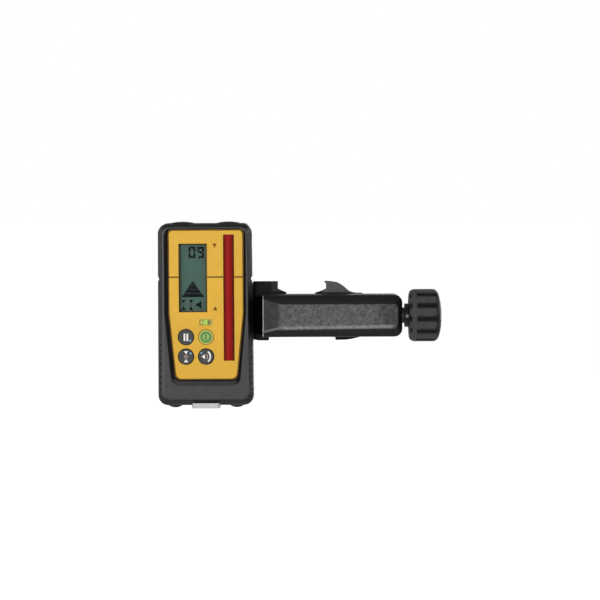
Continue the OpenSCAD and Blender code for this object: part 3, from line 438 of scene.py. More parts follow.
face_outline = rounded([(-31.3, -60.9), (31.3, -60.9), (30.9, 63.8), (-30.9, 63.8)], [5] * 4)
seat_outline = panel_outline(0.1, 0.1, 0.1)
bowl_outline = panel_outline(2.3, 0.9, 5.2, 0)
spokes = spoke_angles(body_outline(0), face_outline, seat_outline, bowl_outline)
side_ring, lip_ring, wall_ring, inner_ring = (
    spoke_ring(body_outline(inset), spokes) for inset in (0, lip_inset, wall_inset, 4))
rim_ring, bowl_ring, seat_ring = (
    spoke_ring(outline, spokes) for outline in (face_outline, bowl_outline, seat_outline))

shell = [(inner_ring, floor_back), (inner_ring, 7), (wall_ring, 7), (wall_ring, joint_depth),
         (lip_ring, joint_depth), (side_ring, joint_depth - lip_inset), (side_ring, 11)]
for outer_ring, next_ring, curve in (
    (side_ring, rim_ring, eased((0, 9.2), (0, 7), (0.26, 5.2))),
    (side_ring, rim_ring, eased((0.74, 1.85), (0.9, 0.55), (0.98, 0.14))),
    (rim_ring, bowl_ring, eased((0.1, 0.03), (0.45, 0.0), (0.8, 0.03))),
    (bowl_ring, seat_ring, eased((0.06, 0.1), (0.14, 0.2), (0.3, 0.46), 3)),
    (bowl_ring, seat_ring, [(t, 1.6 * t) for t in (0.5, 0.75, 0.97)]),
):
    shell += [(between(outer_ring, next_ring, t), depth) for t, depth in curve]
shell += [(seat_ring, 1.72), (seat_ring, floor_front)]

shell_points, shell_faces = loft([body_ring(ring, depth) for ring, depth in shell], ends=False)
hole_loops = []
for sheet_start, depth in ((len(shell_points) - len(spokes), floor_front), (0, floor_back)):
    loops = [list(range(sheet_start, sheet_start + len(spokes)))]
    for hole in openings:
        loops.append(list(range(len(shell_points), len(shell_points) + len(hole))))
        shell_points += body_ring(hole, depth)
    flat = [i for loop in loops for i in loop]
    triangles = tessellate_polygon([[shell_points[i] for i in loop] for loop in loops])
    shell_faces += [tuple(flat[i] for i in triangle) for triangle in triangles]
    hole_loops.append(loops[1:])
for front, back in zip(*hole_loops):
    shell_faces += [(front[i - 1], front[i], back[i], back[i - 1]) for i in range(len(front))]
front_shell = new_piece("front_shell", (shell_points, shell_faces), housing_grey)

groove_count, groove_low, groove_pitch, groove_lean = 9, -58.5, 4.6, atan2(7, 4.3)
grooves = [box_place(side * 32.6, 3.5, groove_low + groove_pitch * i, 14, 1.4, 1.1, -side * groove_lean)
           for side in (-1, 1) for i in range(groove_count)]
notch_z, notch_reach, notch_half = 26.2, 1.6, 2.9
latch_side = [(3.9, -69), (3.9, -63.9), (5.7, -63.9), (9.3, -65.3), (28, -65.3), (28, -69)]
latch_slot = [[on_body(x, depth, z) for depth, z in latch_side] for x in (-10.6, 10.6)]


def notch_prisms(depth_a, depth_b):
    diamond = [(notch_reach, 0), (0, notch_half), (-notch_reach, 0), (0, -notch_half)]
    return [[body_ring([(side * body_half_low + x, notch_z + z) for x, z in diamond], depth)
             for depth in (depth_a, depth_b)] for side in (-1, 1)]


cut_away(front_shell, grooves, prisms=notch_prisms(-1, 14) + [latch_slot])
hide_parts("front_housing")


# Rear housing
# The moulded half behind the joint: rounded back edges, the opening for the battery door with its hinge
# pocket, screw wells in the corners and sockets for the clamp's two pegs. Darker grey, the same fine grain.
housing_dark = moulded("housing_dark_plastic", paint(32, 32, 33), 0.5, pebble=0.5, relief=30, tone=0.07,
                       rub=0.5, specular=0.3)
back_round, back_steps = 2.6, 7
rear_spokes = spoke_angles(body_outline(0), body_outline(back_round))
rear_steps = [(wall_inset, 24.2), (wall_inset, joint_depth), (lip_inset, joint_depth),
              (0, joint_depth + lip_inset), (0, 18), (0, 24.2)]
for k in range(1, back_steps + 1):
    a = pi / 2 * k / back_steps
    rear_steps.append((back_round * (1 - cos(a)), 24.4 + back_round * sin(a)))
rear_rings = [body_ring(spoke_ring(body_outline(inset), rear_spokes), depth) for inset, depth in rear_steps]
rear_shell = new_piece("rear_shell", loft(rear_rings), housing_dark)


def rod_y(x, z, radius, depth_a, depth_b):
    place = Matrix.Translation(on_body(x, (depth_a + depth_b) / 2, z)) @ Matrix.Rotation(pi / 2, 4, "X")
    return place, radius / 1000, (depth_b - depth_a) / 1000


screw_wells = [(-29.1, 59.8), (29.1, 59.8), (-23.862, -60.9), (23.862, -60.9)]
mount_z, past_back = 1.55, 29
cell_opening = box_place(0, 22, -40.6, 57, 20, 31.6)
door_seat = box_place(0, 26, -40.35, 60.2, 4, 35.3)
hinge_pocket = box_place(0, 25.5, -20.65, 38.6, 5.6, 5.7)
latch_pocket = box_place(0, 26.5, -62.5, 21.2, 3.8, 15)
rear_holes = [rod_y(x, z, 1.9, 25.4, past_back) for x, z in screw_wells]
rear_holes += [rod_y(x, z, 1.15, 10, past_back) for x, z in screw_wells]
rear_holes += [rod_y(x, mount_z, radius, 20, past_back) for x, radius in ((-16, 2.3), (16, 2.3), (0, 4.7))]
cut_away(rear_shell, [cell_opening, door_seat, hinge_pocket, latch_pocket], rear_holes,
         notch_prisms(12, 28) + [latch_slot])
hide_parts("rear_housing")


# Housing screws
# Four small plated screws with cross slots close the two halves from the back.
# Drawn wire and a rolled head, so the plating shows fine lines along the part.
def vector_maths(tree, operation, *values):
    return add_node(tree, "VectorMath", dict(enumerate(values)), operation=operation).outputs


def metal(name, colour, roughness, across=3000.0, along=60.0):
    finish, tree, shader = new_material(name)
    shader.inputs["Metallic"].default_value = 1
    lines = noise(tree, vector_maths(tree, "MULTIPLY", own_place(tree), (along, across, across))[0], 1)
    skin = mixed(tree, moulded_grain(tree, 0.2, 3)[1], scaled(colour, 0.78), colour)
    textured(tree, shader, skin, lines, roughness - 0.07, roughness + 0.1, lines, 0.5, 6)
    return finish


# rounds the edges over, by a width in millimetres
def soft_edges(part, width):
    join = part.modifiers.new("join", "WELD")
    join.merge_threshold = 0.000002
    edge = part.modifiers.new("soft_edge", "BEVEL")
    edge.limit_method = "ANGLE"
    edge.angle_limit = radians(28)
    edge.width = width / 1000
    edge.segments = 2
    edge.use_clamp_overlap = True
    even = part.modifiers.new("even_shade", "WEIGHTED_NORMAL")
    even.keep_sharp = False


def dress(node, finish, soften=0.0):
    part = parts[node]
    part.data.materials.clear()
    part.data.materials.append(finish)
    if soften:
        soft_edges(part, soften)


plated_steel = metal("plated_steel", (0.56, 0.56, 0.57, 1), 0.3)
dress("housing_screws", plated_steel)


# Seals
# A rubber cord closes the joint between the housings, and a flat rubber ring closes the battery door.
# Both are soft black rubber with a faint bloom.
seal_rubber = moulded("seal_rubber", paint(34, 34, 35), 0.8, pebble=0.25, tone=0.15, specular=0.25)
dress("housing_seal", seal_rubber)
dress("door_seal", seal_rubber)


# Bumpers and feet
# Two low rubber pads on the top edge and two on the bottom edge take the knocks.
# Matt black moulded rubber, a little dusty.
bumper_rubber = moulded("bumper_rubber", paint(34, 34, 36), 0.7, tone=0.15, rub=0.4, specular=0.2)
dress("top_bumpers", bumper_rubber, 0.25)
dress("bottom_feet", bumper_rubber, 0.25)


# Face panel
# A satin yellow plate let into the bowl, with a dark line printed round its edge, the on-grade line across
# it and two small arrows beside the display. The print lies on the plate as a thin film of ink.
panel_yellow = moulded("panel_yellow_plastic", paint(219, 172, 63), 0.45, pebble=0.35, relief=8,
                       blotch=14, tone=0.035, rub=0.12, specular=0.1)
dress("face_panel", panel_yellow, 0.12)
ink_film, panel_print = 0.04, 1.57


def gathered(solids):
    points, faces = [], []
    for more_points, more_faces in solids:
        faces += [tuple(len(points) + i for i in face) for face in more_faces]
        points += more_points
    return points, faces


def ink(name, outlines, depth, finish, body="receiver"):
    films = [loft([body_ring(outline, depth), body_ring(outline, depth + ink_film)]) for outline in outlines]
    new_piece(name, gathered(films), finish, body)


def printed_ink(name, colour, blotch=3, tone=0.15, specular=0.1):
    return moulded(name, colour, 0.5, pebble=0.2, relief=3, blotch=blotch, tone=tone, specular=specular)


def band_pieces(outer, inner):
    n = len(outer)
    return [[outer[i], outer[(i + 1) % n], inner[(i + 1) % n], inner[i]] for i in range(n)]


def arrow(x, z, w, h, up=True):
    s = 1 if up else -1
    return [(x - s * w / 2, z - s * h / 2), (x + s * w / 2, z - s * h / 2), (x, z + s * h / 2)]


brown_ink = printed_ink("brown_ink", paint(86, 50, 14))
arrow_ink = printed_ink("arrow_ink", paint(128, 74, 14))
ink("panel_border", band_pieces(panel_outline(-0.1, -0.1, -0.1), panel_outline(-0.75, -0.75, -0.75)),
    panel_print, brown_ink)
ink("on_grade_line", [rect(x, 27.7, w, 0.95) for x, w in ((-22.7, 7.2), (7.45, 11.4), (24.45, 6.5))],
    panel_print, brown_ink)
ink("panel_arrows", [arrow(7.1, 50.3, 3.2, 3.2, False), arrow(7.3, 5.2, 3.0, 3.2)],
    panel_print, arrow_ink)


# Display
# A reflective liquid crystal cell in a carrier, behind a clear window let into the panel.
# Dark segments: two digits, a stack of bars that points up to the on-grade line, and three small symbols.
def lcd_colour(tree, tones):
    return mixed(tree, tones, paint(69, 94, 85), paint(76, 101, 91))


lcd_green = moulded("lcd_green", lcd_colour, 0.4, relief=2, blotch=12, specular=0.05)
dress("lcd_module", lcd_green)

seven = {"a": ((0, 1), (1, 1)), "b": ((1, 1), (1, 0.5)), "c": ((1, 0.5), (1, 0)), "d": ((0, 0), (1, 0)),
         "e": ((0, 0.5), (0, 0)), "f": ((0, 1), (0, 0.5)), "g": ((0, 0.5), (1, 0.5))}
digit_z, digit_w, digit_h, bar_half, bar_gap = 41.2, 5.0, 8.3, 0.78, 0.08


# bars are square at the digit's outer corners and mitred where they meet other bars
def digit(x, lit):
    bars = []
    for ends in (seven[letter] for letter in lit):
        a, b = (Vector((x + bar_half + across * (digit_w - 2 * bar_half),
                        digit_z + bar_half + up * (digit_h - 2 * bar_half))) for across, up in ends)
        (ax, az), (bx, bz) = ends
        along = (b - a).normalized()
        side = Vector((-along.y, along.x)) * bar_half
        outward = side.dot(Vector((ax + bx - 1, az + bz - 1)))
        a, b = a + along * bar_gap, b - along * bar_gap
        (low_a, low_b), (high_a, high_b) = (
            [-bar_half if end in (0, 1) and way * outward > 0 else bar_half for end in (az, bz)]
            for way in (-1, 1))
        bars.append([tuple(p) for p in (a, a + along * low_a - side, b - along * low_b - side, b,
                                        b - along * high_b + side, a + along * high_a + side)])
    return bars


stack_x, stack_top, stack_low, stack_half = -8.85, 24.9, 13.0, 8.2
stack_levels = (stack_top, 21.6, 18.6, 15.7, stack_low)
mark_columns = (-15.7, -10.3)


def stack_reach(z):
    return stack_half * (stack_top - z) / (stack_top - stack_low)


lcd_dark = digit(-11.8, "abcdef") + digit(-5.5, "abcdfg")
for upper, lower in zip(stack_levels, stack_levels[1:]):
    top_half = stack_reach(upper) + 0.01
    foot = lower if lower == stack_low else lower + 0.38
    lcd_dark.append([(stack_x - stack_reach(foot), foot), (stack_x + stack_reach(foot), foot),
                     (stack_x + top_half, upper), (stack_x - top_half, upper)])
for x in mark_columns:
    lcd_dark += [arrow(x, 9.75, 3.2, 2.7, False), arrow(x, 5.05, 3.2, 2.7)]
lcd_dark.append([(-6.5, 6.4), (-5.1, 6.4), (-2.8, 4.6), (-2.8, 10.4), (-5.1, 8.6), (-6.5, 8.6)])
segment_black = moulded("segment_black", paint(7, 10, 14), 0.5, pebble=0.2, relief=2, blotch=2, tone=0.2,
                        specular=0.03)
segment_print, faint_print = 4.64, 4.65
ink("display_segments", lcd_dark, segment_print, segment_black)
segment_faint = moulded("segment_faint", paint(66, 60, 68), 0.4, pebble=0.2, relief=2, blotch=2,
                        specular=0.1)
faint_bars = [rect(mark_columns[1], z, 2.4, 0.3) for z in (6.8, 7.4, 8.0)]
faint_bars.append(rect(mark_columns[0], 7.4, 2.4, 0.4))
faint_bars += [rect(stack_x, z + 0.22, 2 * stack_reach(z) - 0.6, 0.28) for z in stack_levels[1:4]]
ink("display_faint_bars", faint_bars, faint_print, segment_faint)

window_clear, clear_tree, clear = new_material("window_clear")
clear_tone = moulded_grain(clear_tree, 2, 9)[1]
feed(clear_tree, clear, {"Base Color": (0.93, 0.97, 0.96, 1), "Transmission Weight": 1, "IOR": 1.1,
                         "Roughness": ramp(clear_tree, clear_tone, 0, 1, "LINEAR", 0.02, 0.08)})
clear_path = add_node(clear_tree, "LightPath").outputs
clear_pass = maths(clear_tree, "MAXIMUM", clear_path["Is Shadow Ray"], clear_path["Is Diffuse Ray"])
choose_shader(clear_tree, "Material Output", clear_pass, clear, add_node(clear_tree, "BsdfTransparent"))
dress("display_window", window_clear)
window_x, window_z, window_print = -8.7, 27.1, 1.9
# Painted shadow: a dark brown band along the window's left, top and bottom and an olive strip at its right
# edge stand for the shade that the opening's walls cast on the display.
opening_shadow_bars = [rect(-18.35, window_z, 1.2, 49.5), rect(window_x, 51.4, 20.5, 0.8),
              rect(window_x, 2.65, 20.5, 0.6)]
ink("display_frame", opening_shadow_bars, window_print,
    printed_ink("opening_shadow_ink", paint(58, 42, 20), tone=0.2))
ink("display_edge", [rect(0.95, 27.0, 1.2, 48.0)], window_print,
    printed_ink("edge_shade_ink", paint(74, 70, 42), tone=0.2))


# Detector window
# A tall crowned filter of deep red acrylic, flanged behind the floor; a row of photodiodes on a narrow board
# lies behind it. Its colour is painted darker towards both long edges, as shade on the crowned sides, and
# lighter along the middle.
def red_colour(tree, tones):
    middle = mixed(tree, tones, paint(142, 14, 10), paint(150, 18, 14))
    return mixed(tree, near(tree, "X", on_body(17.0, 0, 0).x, 0.0012, 0.0034), paint(88, 22, 12), middle)


red_filter = moulded("red_filter_acrylic", red_colour, 0.42, pebble=1.5, relief=2, blotch=9, specular=0.08)
dress("sensor_window", red_filter, 0.2)


def board_colour(tree, tones):
    split = split_up(tree, own_place(tree))
    flat = add_node(tree, "CombineXYZ", {"X": split["X"], "Y": split["Z"]}).outputs[0]
    tracks = add_node(tree, "TexBrick", {
        "Vector": flat, "Scale": 260, "Mortar Size": 0.06, "Color1": paint(14, 70, 38),
        "Color2": paint(18, 80, 42), "Mortar": paint(40, 112, 66)}).outputs["Color"]
    return mixed(tree, 0.15, tracks, paint(20, 60, 30))


board_green = moulded("board_green", board_colour, 0.4, relief=10)
dress("sensor_board", board_green)
diode_black = moulded("diode_black", paint(36, 30, 34), 0.3, pebble=0.2, relief=3, tone=0.2, rub=0.3)
dress("photodiodes", diode_black)


# Keys
# Four round moulded caps with a rounded rim and a slightly dished top, each with a flange behind the floor
# and a stem to its switch. Their signs are printed: hold, power, precision and sound.
def lathe(profile, place, segments=72):
    return loft([[place(radius * cos(a), along, radius * sin(a)) for a in turns(segments)]
                 for radius, along in profile])


key_profile = [(0.6, 1.32), (2.2, 1.29), (3.6, 1.2)] + eased((4.5, 1.13), (5.55, 1.1), (5.6, 2.1), 6) + [
    (5.6, 4.6), (5.6, 4.7), (6.9, 4.7), (6.9, 5.5), (1.3, 5.5), (1.3, 6.7)]
key_print = 1.09
key_grey = moulded("key_grey_plastic", paint(52, 54, 53), 0.44, relief=12, blotch=5, rub=0.4, specular=0.25)


def place_from(tree, centre):
    return vector_maths(tree, "SUBTRACT", own_place(tree), centre)[0]


def power_colour(tree, tones):
    power_x, power_z = key_centres["power"]
    far = vector_maths(tree, "LENGTH", place_from(tree, on_body(power_x, 1.1, power_z)))["Value"]
    glow = mixed(tree, ramp(tree, far, 0.0012, 0.0034), paint(160, 186, 98), paint(122, 174, 98))
    return mixed(tree, ramp(tree, far, 0.0034, 0.0062), glow, paint(220, 174, 78))


key_lit = moulded("key_lit_plastic", power_colour, 0.45, relief=8, specular=0.1)


def arc_band(x, z, r0, r1, a0, a1, steps=14):
    ends = [radians(a0 + (a1 - a0) * k / steps) for k in range(steps + 1)]
    return ([(x + r1 * cos(a), z + r1 * sin(a)) for a in ends]
            + [(x + r0 * cos(a), z + r0 * sin(a)) for a in reversed(ends)])


white_ink = printed_ink("white_ink", paint(232, 228, 222), 2, 0.04, 0.4)
pale_ink = printed_ink("pale_ink", paint(172, 150, 142), 2, 0.06, 0.4)
blue_ink = printed_ink("blue_ink", paint(110, 158, 190), 2, 0.06, 0.4)
green_ink = printed_ink("green_ink", paint(30, 98, 40), 2, 0.08, 0.4)
# Painted shadow: a thin dark ring on the panel round each key except the power key stands for the shade in
# the gap between cap and opening.
key_gap_shadows = [arc_band(x, z, 5.82, 6.02, start, start + 180, 36) for key, (x, z) in key_centres.items()
        for start in (0, 180) if key != "power"]
ink("key_rims", key_gap_shadows, panel_print, printed_ink("gap_shadow_ink", paint(64, 52, 36)))

key_signs = {
    "hold": ((white_ink, [rect(-1.05, -0.1, 1.3, 5.4), rect(1.05, -0.1, 1.3, 5.4)]),
             (blue_ink, [circle(3.1, -2.7, 0.75, 20)])),
    "power": ((green_ink, [arc_band(0, 0, 2.75, 3.65, 0, 180), arc_band(0, 0, 2.75, 3.65, 180, 360),
                           rect(0, 0, 0.95, 3.9)]),),
    "precision": ((white_ink, [arrow(0, 2.9, 3.2, 2.4, False), arrow(0, -2.9, 3.2, 2.4)]),
                  (pale_ink, [rect(0, z, 2.8, 0.45) for z in (-0.85, 0, 0.85)]),
                  (blue_ink, [circle(3.3, 2.4, 0.85, 20)])),
    "sound": ((white_ink, [[(-3.4, 0), (-0.8, -1.75), (-0.8, 1.75)], arc_band(-1.6, 0, 4.1, 5.2, -50, 50)]),
              (pale_ink, [arc_band(-1.6, 0, 2.3, 2.95, -42, 42)]),
              (blue_ink, [circle(-3.4, 2.7, 0.7, 20)])),
}
for key, (key_x, key_z) in key_centres.items():
    slot_name, key_finish = ("key_yellow", key_lit) if key == "power" else ("key_grey", key_grey)
    cap_solid = lathe(key_profile, lambda x, depth, z: on_body(key_x + x, depth, key_z + z))
    cap = new_piece(key + "_cap", cap_solid, key_finish, key + "_key", sharp=50)
    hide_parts(key + "_key")
    for n, (sign_ink, outlines) in enumerate(key_signs[key], 1):
        moved = [[(key_x + x, key_z + z) for x, z in outline] for outline in outlines]
        ink(key + "_sign_" + str(n), moved, key_print, sign_ink, key + "_key")


# Status light
# A clear green light guide set flush in the panel above the power key, printed as a small cell symbol.
# Moulded acrylic with a satin face.
def guide_colour(tree, tones):
    lit = mixed(tree, tones, paint(148, 192, 68), paint(164, 202, 76))
    return mixed(tree, near(tree, "X", on_body(0.4, 0, 0).x, 0.0012, 0.0036), paint(196, 184, 78), lit)


light_green = moulded("light_guide_green", guide_colour, 0.35, relief=6, blotch=3)
dress("status_light", light_green, 0.15)
cell_symbol = [rect(-3.65, -5, 0.5, 3.6), rect(-1.65, -5, 0.55, 3.6),
               rect(-2.7, -3.35, 2.4, 0.4), rect(-2.7, -6.65, 2.4, 0.4),
               rect(2.55, -5, 1.5, 3.7), rect(4.0, -5, 1.0, 2.0)]
ink("status_mark", cell_symbol, panel_print,
    printed_ink("olive_ink", paint(96, 92, 26), 2, 0.12, 0.4))


# Boards inside
# The main board behind the display and keys, with a tact switch under each key and a round sounder on its
# back. Green solder mask over tracks, black moulded parts.
dress("main_board", board_green)
switch_black = moulded("switch_black", paint(44, 44, 46), 0.45, pebble=0.25, tone=0.12, rub=0.4)
dress("key_switches", switch_black, 0.1)
dress("sounder", switch_black, 0.2)


# Battery bay
# A thin moulded tray with pressed contact plates and conical springs, and two cells that lie head to tail.
# The springs are wound wire; the cells are steel cans in a printed sleeve.
tray_black = moulded("tray_black", paint(40, 40, 42), 0.55, pebble=0.4, tone=0.1, rub=0.5)
dress("battery_tray", tray_black)
contact_metal = metal("contact_metal", (0.62, 0.61, 0.58, 1), 0.28, across=2400, along=90)
dress("battery_contacts", contact_metal)
cell_rows, cell_depth = ((1, -33.2), (-1, -48.0)), 17.3
wire_r, wire_sides, spring_turns, spring_steps = 0.3, 10, 2.5, 60


def spring(way, z):
    path = []
    for t in (i / spring_steps for i in range(spring_steps + 1)):
        a = 2 * pi * spring_turns * t
        r = 4.0 - 2.0 * t
        path.append(Vector((-way * (26.9 - wire_r - 2.8 * t), cell_depth + way * r * cos(a),
                            z + r * sin(a))))
    rings = []
    for i, p in enumerate(path):
        along = (path[min(i + 1, spring_steps)] - path[max(i - 1, 0)]).normalized()
        out = Vector((1, 0, 0)).cross(along).normalized()
        other = along.cross(out)
        rings.append([on_body(*(p + (out * cos(b) + other * sin(b)) * wire_r))
                      for b in turns(wire_sides)])
    return loft(rings)


springs = new_piece("cell_springs", gathered(spring(way, z) for way, z in cell_rows),
                    contact_metal)
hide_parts("battery_springs")


def sleeve_colour(tree, tones):
    plain = mixed(tree, tones, paint(62, 70, 84), paint(70, 80, 94))
    return mixed(tree, near(tree, "X", body_x, 0.0165, 0.0166), paint(150, 156, 160), plain)


cell_sleeve = moulded("cell_sleeve", sleeve_colour, 0.32, relief=4, rub=0.3, under=paint(66, 74, 88))
cell_profile = [(0.8, 26.8), (2.3, 26.8), (2.7, 26.5), (2.7, 25.75), (5.9, 25.75), (6.4, 25.9), (6.9, 25.7),
                (7.2, 25.1), (7.2, 24.2), (7.05, 24.0), (7.2, 23.8), (7.2, -23.0), (6.9, -23.5), (6.0, -23.6),
                (2.0, -23.6)]
cell_solids = [lathe(cell_profile, lambda x, along, z: on_body(way * along, cell_depth + x, cell_z + z), 56)
               for way, cell_z in cell_rows]
cells = new_piece("cells", gathered(cell_solids), cell_sleeve)
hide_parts("battery_cells")


# Battery door
# A moulded flap with a hinge barrel on a steel pin, finger ribs near its free edge, and a pale latch whose
# tongue runs under the housing to the front bevel.
dress("battery_door", housing_dark, 0.25)
dress("door_hinge_pin", plated_steel)
rib_count, rib_low, rib_pitch, rib_long, rib_half = 5, -49.6, 2.1, 9, 0.45
rib_outline = rounded([(-rib_long, -rib_half), (rib_long, -rib_half), (rib_long, rib_half),
                               (-rib_long, rib_half)], [0.44] * 4, 5)


def rib(z_middle):
    return loft([body_ring([(x - (1 - share) * copysign(rib_half, x), z_middle + z * share)
                            for x, z in rib_outline], depth)
                 for share, depth in ((1.0, 26.9), (1.0, 27.12), (0.8, 27.3), (0.35, 27.36))])


new_piece("door_ribs", gathered(rib(rib_low + rib_pitch * i) for i in range(rib_count)),
          housing_dark, "battery_door")


def grey(level):
    return paint(level, level, level)


latch_pale = moulded("latch_pale_plastic", grey(190), 0.45, pebble=0.35, relief=10, tone=0.03, rub=0.1,
                     specular=0.35)
dress("door_latch", latch_pale, 0.3)


# Clamp mount
# A brass insert moulded into the back takes a fluted thumbscrew, which holds the clamp's frame to the
# receiver over a washer. Thumbscrew and washer are moulded in black nylon.
brass = metal("turned_brass", (0.62, 0.44, 0.17, 1), 0.3, across=1500, along=1500)
dress("threaded_insert", brass)
thumb_nylon = moulded("thumb_nylon", paint(36, 36, 37), 0.5, pebble=0.5, relief=30, blotch=4, tone=0.12,
                      rub=0.7)
dress("mount_screw", thumb_nylon, 0.6)
dress("mount_washer", thumb_nylon, 0.1)


# Clamp frame and fixed jaw
# A ribbed moulding of glass-filled nylon: a plate behind the receiver, and the jaw beside it with a rubber
# facing. Black and satin; faces towards the front are painted darker than faces behind as painted shade, and
# a patch on the jaw's lip is painted a little lighter.
jaw_black = grey(24)


# Painted shade darkens the faces towards the front against the lighter faces behind. A patch at the given X
# and Z on the front faces takes the lighter pair of paints.
def rubbed_front(x, x_full, x_none, z, z_full, z_none, darker, lighter):
    def colour(tree, tones):
        plain = mixed(tree, tones, jaw_black, grey(33))
        wear_and_highlight = mixed(tree, tones, darker, lighter)
        wear_and_highlight = mixed(tree, near(tree, "X", x, x_full, x_none), plain, wear_and_highlight)
        wear_and_highlight = mixed(tree, near(tree, "Z", z, z_full, z_none), plain, wear_and_highlight)
        front = mixed(tree, facing(tree, 0.9, 0.99), plain, wear_and_highlight)
        behind = mixed(tree, tones, grey(44), grey(52))
        return mixed(tree, facing(tree, -0.45, -0.15), behind, front)
    return colour


def jaw_finish(name, colour):
    return moulded(name, colour, 0.75, pebble=0.6, relief=40, blotch=4, rub=0.5, specular=0.06,
                   under=jaw_black)


fixed_lip = rubbed_front(-0.0195, 0.0022, 0.0034, 0.021, 0.003, 0.0045, paint(54, 51, 48), paint(66, 63, 59))
dress("clamp_frame", jaw_finish("fixed_jaw_nylon", fixed_lip), 0.4)
pad_rubber = moulded("pad_rubber", grey(24), 0.8, pebble=0.5, relief=60, tone=0.12, rub=0.3, specular=0.1)
dress("fixed_jaw_pad", pad_rubber, 0.3)


# Clamp arm
# A bar with soft bevels, cast in light alloy and painted black with a pebbled skin. Its colour carries
# painted light: the front is lighter than the bevels, which are painted near black as shade, with painted
# highlights along the lower edge and the left end and painted shade on the left facet. It houses the clamp
# screw; two socket screws hold its flange to the frame.
arm_low, arm_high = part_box("clamp_arm")
arm_end, arm_fold, arm_right, arm_half = -28.6, -16.0, arm_high.x * 1000, arm_high.z * 1000
arm_front, arm_back, bevel_y = arm_low.y * 1000, arm_high.y * 1000, 5.5
end_round, back_soft = 0.9, 0.3


def arm_line(left, left_z, fold_z, right, radii, lower=0.0):
    corners = [(left, -left_z), (arm_fold, -fold_z), (right, -fold_z)]
    upper = [(x, -z) for x, z in reversed(corners)]
    corners[0] = (left, lower - left_z)
    return rounded(corners + upper, radii + radii[::-1])


back_line = arm_line(arm_end + back_soft, arm_half - back_soft, arm_half - back_soft, arm_right - back_soft,
                     [0.6, 0, 5.5])
side_line = arm_line(arm_end, arm_half, arm_half, arm_right, [end_round, 0, 5.8])
front_line = arm_line(arm_end, 12.9, 8.8, 69.3, [end_round, 30, 3.4], 1.2)
inner_line = arm_line(arm_end + 1.0, 12.2, 7.7, 68.0, [0.6, 30, 2.4], 1.2)


# the front face falls back to the left of the fold and rolls over at the end
def arm_face(x):
    past_fold = max(0, arm_fold + 2.5 - x)
    slant = past_fold if past_fold > 5 else past_fold * past_fold / 10 + past_fold / 2
    roll = max(0, arm_end + end_round - x)
    return arm_front + slant * 2.6 / 15.1 + end_round - sqrt(max(0, end_round ** 2 - roll ** 2))


arm_rings = [[(x, arm_back, z) for x, z in back_line], [(x, arm_back - back_soft, z) for x, z in side_line],
             [(x, arm_front + 7.6, z) for x, z in side_line]]
bevel_start = arm_front + bevel_y
for t, rise_share in eased((0, -0.3), (0, 0), (0.24, 0.24)) + eased((0.7, 0.7), (0.92, 0.92), (1, 0.99)):
    arm_rings.append([(x, bevel_start + (arm_face(x) - bevel_start) * rise_share, z)
                      for x, z in between(side_line, front_line, t)])
for t in (0.12, 0.3, 0.55, 1):
    arm_rings.append([(x, arm_face(x), z) for x, z in between(front_line, inner_line, t)])
arm_points, arm_faces = loft([[Vector(p) / 1000 for p in ring] for ring in arm_rings], ends=False)
count = len(side_line)
face_start = len(arm_points) - count
arm_faces += [(face_start + i, face_start + i + 1, face_start + count - 2 - i, face_start + count - 1 - i)
              for i in range(count // 2 - 1)]
arm_faces.append(tuple(range(count)))


# Painted light and shade: the front is lighter than the bevels, which are painted near black. A painted
# highlight runs along the lower edge and the slanted foot of the left facet, and a bright painted line marks
# the left end. The left facet is painted darker as shade, the skin is darker towards the right end, and the
# sides and back take a dark grey.
def arm_colour(tree, tones):
    skin = mixed(tree, tones, paint(68, 68, 67), paint(108, 107, 106))
    end_skin = mixed(tree, tones, grey(46), grey(84))
    skin = mixed(tree, near(tree, "X", arm_high.x, 0.006, 0.026), skin, end_skin)
    left_facet_shade = mixed(tree, tones, paint(48, 48, 50), paint(66, 66, 68))
    skin = mixed(tree, near(tree, "X", -0.0226, 0.004, 0.0085), skin, left_facet_shade)
    skin = mixed(tree, facing(tree, 0.72, 0.985), paint(25, 25, 24), skin)
    low_edge_highlight = mixed(tree, tones, paint(104, 103, 103), paint(146, 145, 145))
    level_edge_highlight = mixed(tree, near(tree, "X", 0.0245, 0.039, 0.044), skin, low_edge_highlight)
    skin = mixed(tree, near(tree, "Z", -0.0081, 0.0004, 0.0019, 0.013), skin, level_edge_highlight)
    slant_edge_highlight = mixed(tree, near(tree, "X", -0.0215, 0.006, 0.008), skin, paint(104, 103, 103))
    skin = mixed(tree, near(tree, "Z", -0.0046, 0.0003, 0.0014, 0.23), skin, slant_edge_highlight)
    skin = mixed(tree, near(tree, "X", arm_end / 1000, 0.0004, 0.0008), skin, grey(205))
    return mixed(tree, facing(tree, 0.3, 0.6), grey(34), skin)


arm_black = moulded("arm_pebbled_paint", arm_colour, 0.46, pebble=1.2, relief=80, blotch=2.6, specular=0.05)
arm_bar = new_piece("arm_bar", (arm_points, arm_faces), arm_black, sharp=44)


def span_box(x0, x1, y0, y1, half_z):
    middle = Vector(((x0 + x1) / 2, (y0 + y1) / 2, 0)) / 1000
    return Matrix.Translation(middle) @ Matrix.Diagonal(((x1 - x0) / 1000, (y1 - y0) / 1000, half_z / 500, 1))


def rod_x(radius, x0, x1):
    middle = Vector(((x0 + x1) / 2, (arm_front + arm_back) / 2, 0)) / 1000
    return Matrix.Translation(middle) @ Matrix.Rotation(pi / 2, 4, "Y"), radius / 1000, (x1 - x0) / 1000


channel_left, channel_right = -22, 66.5
channel = span_box(channel_left, channel_right, arm_front + 3.5, arm_back - 2.5, 11.8)
channel_mouth = span_box(channel_left, channel_right, arm_back - 2.7, arm_back + 0.3, 6.7)
cut_away(arm_bar, [channel, channel_mouth], [rod_x(4.625, -27, -21.8), rod_x(5.675, 66.3, arm_right + 0.5)])
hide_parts("clamp_arm")

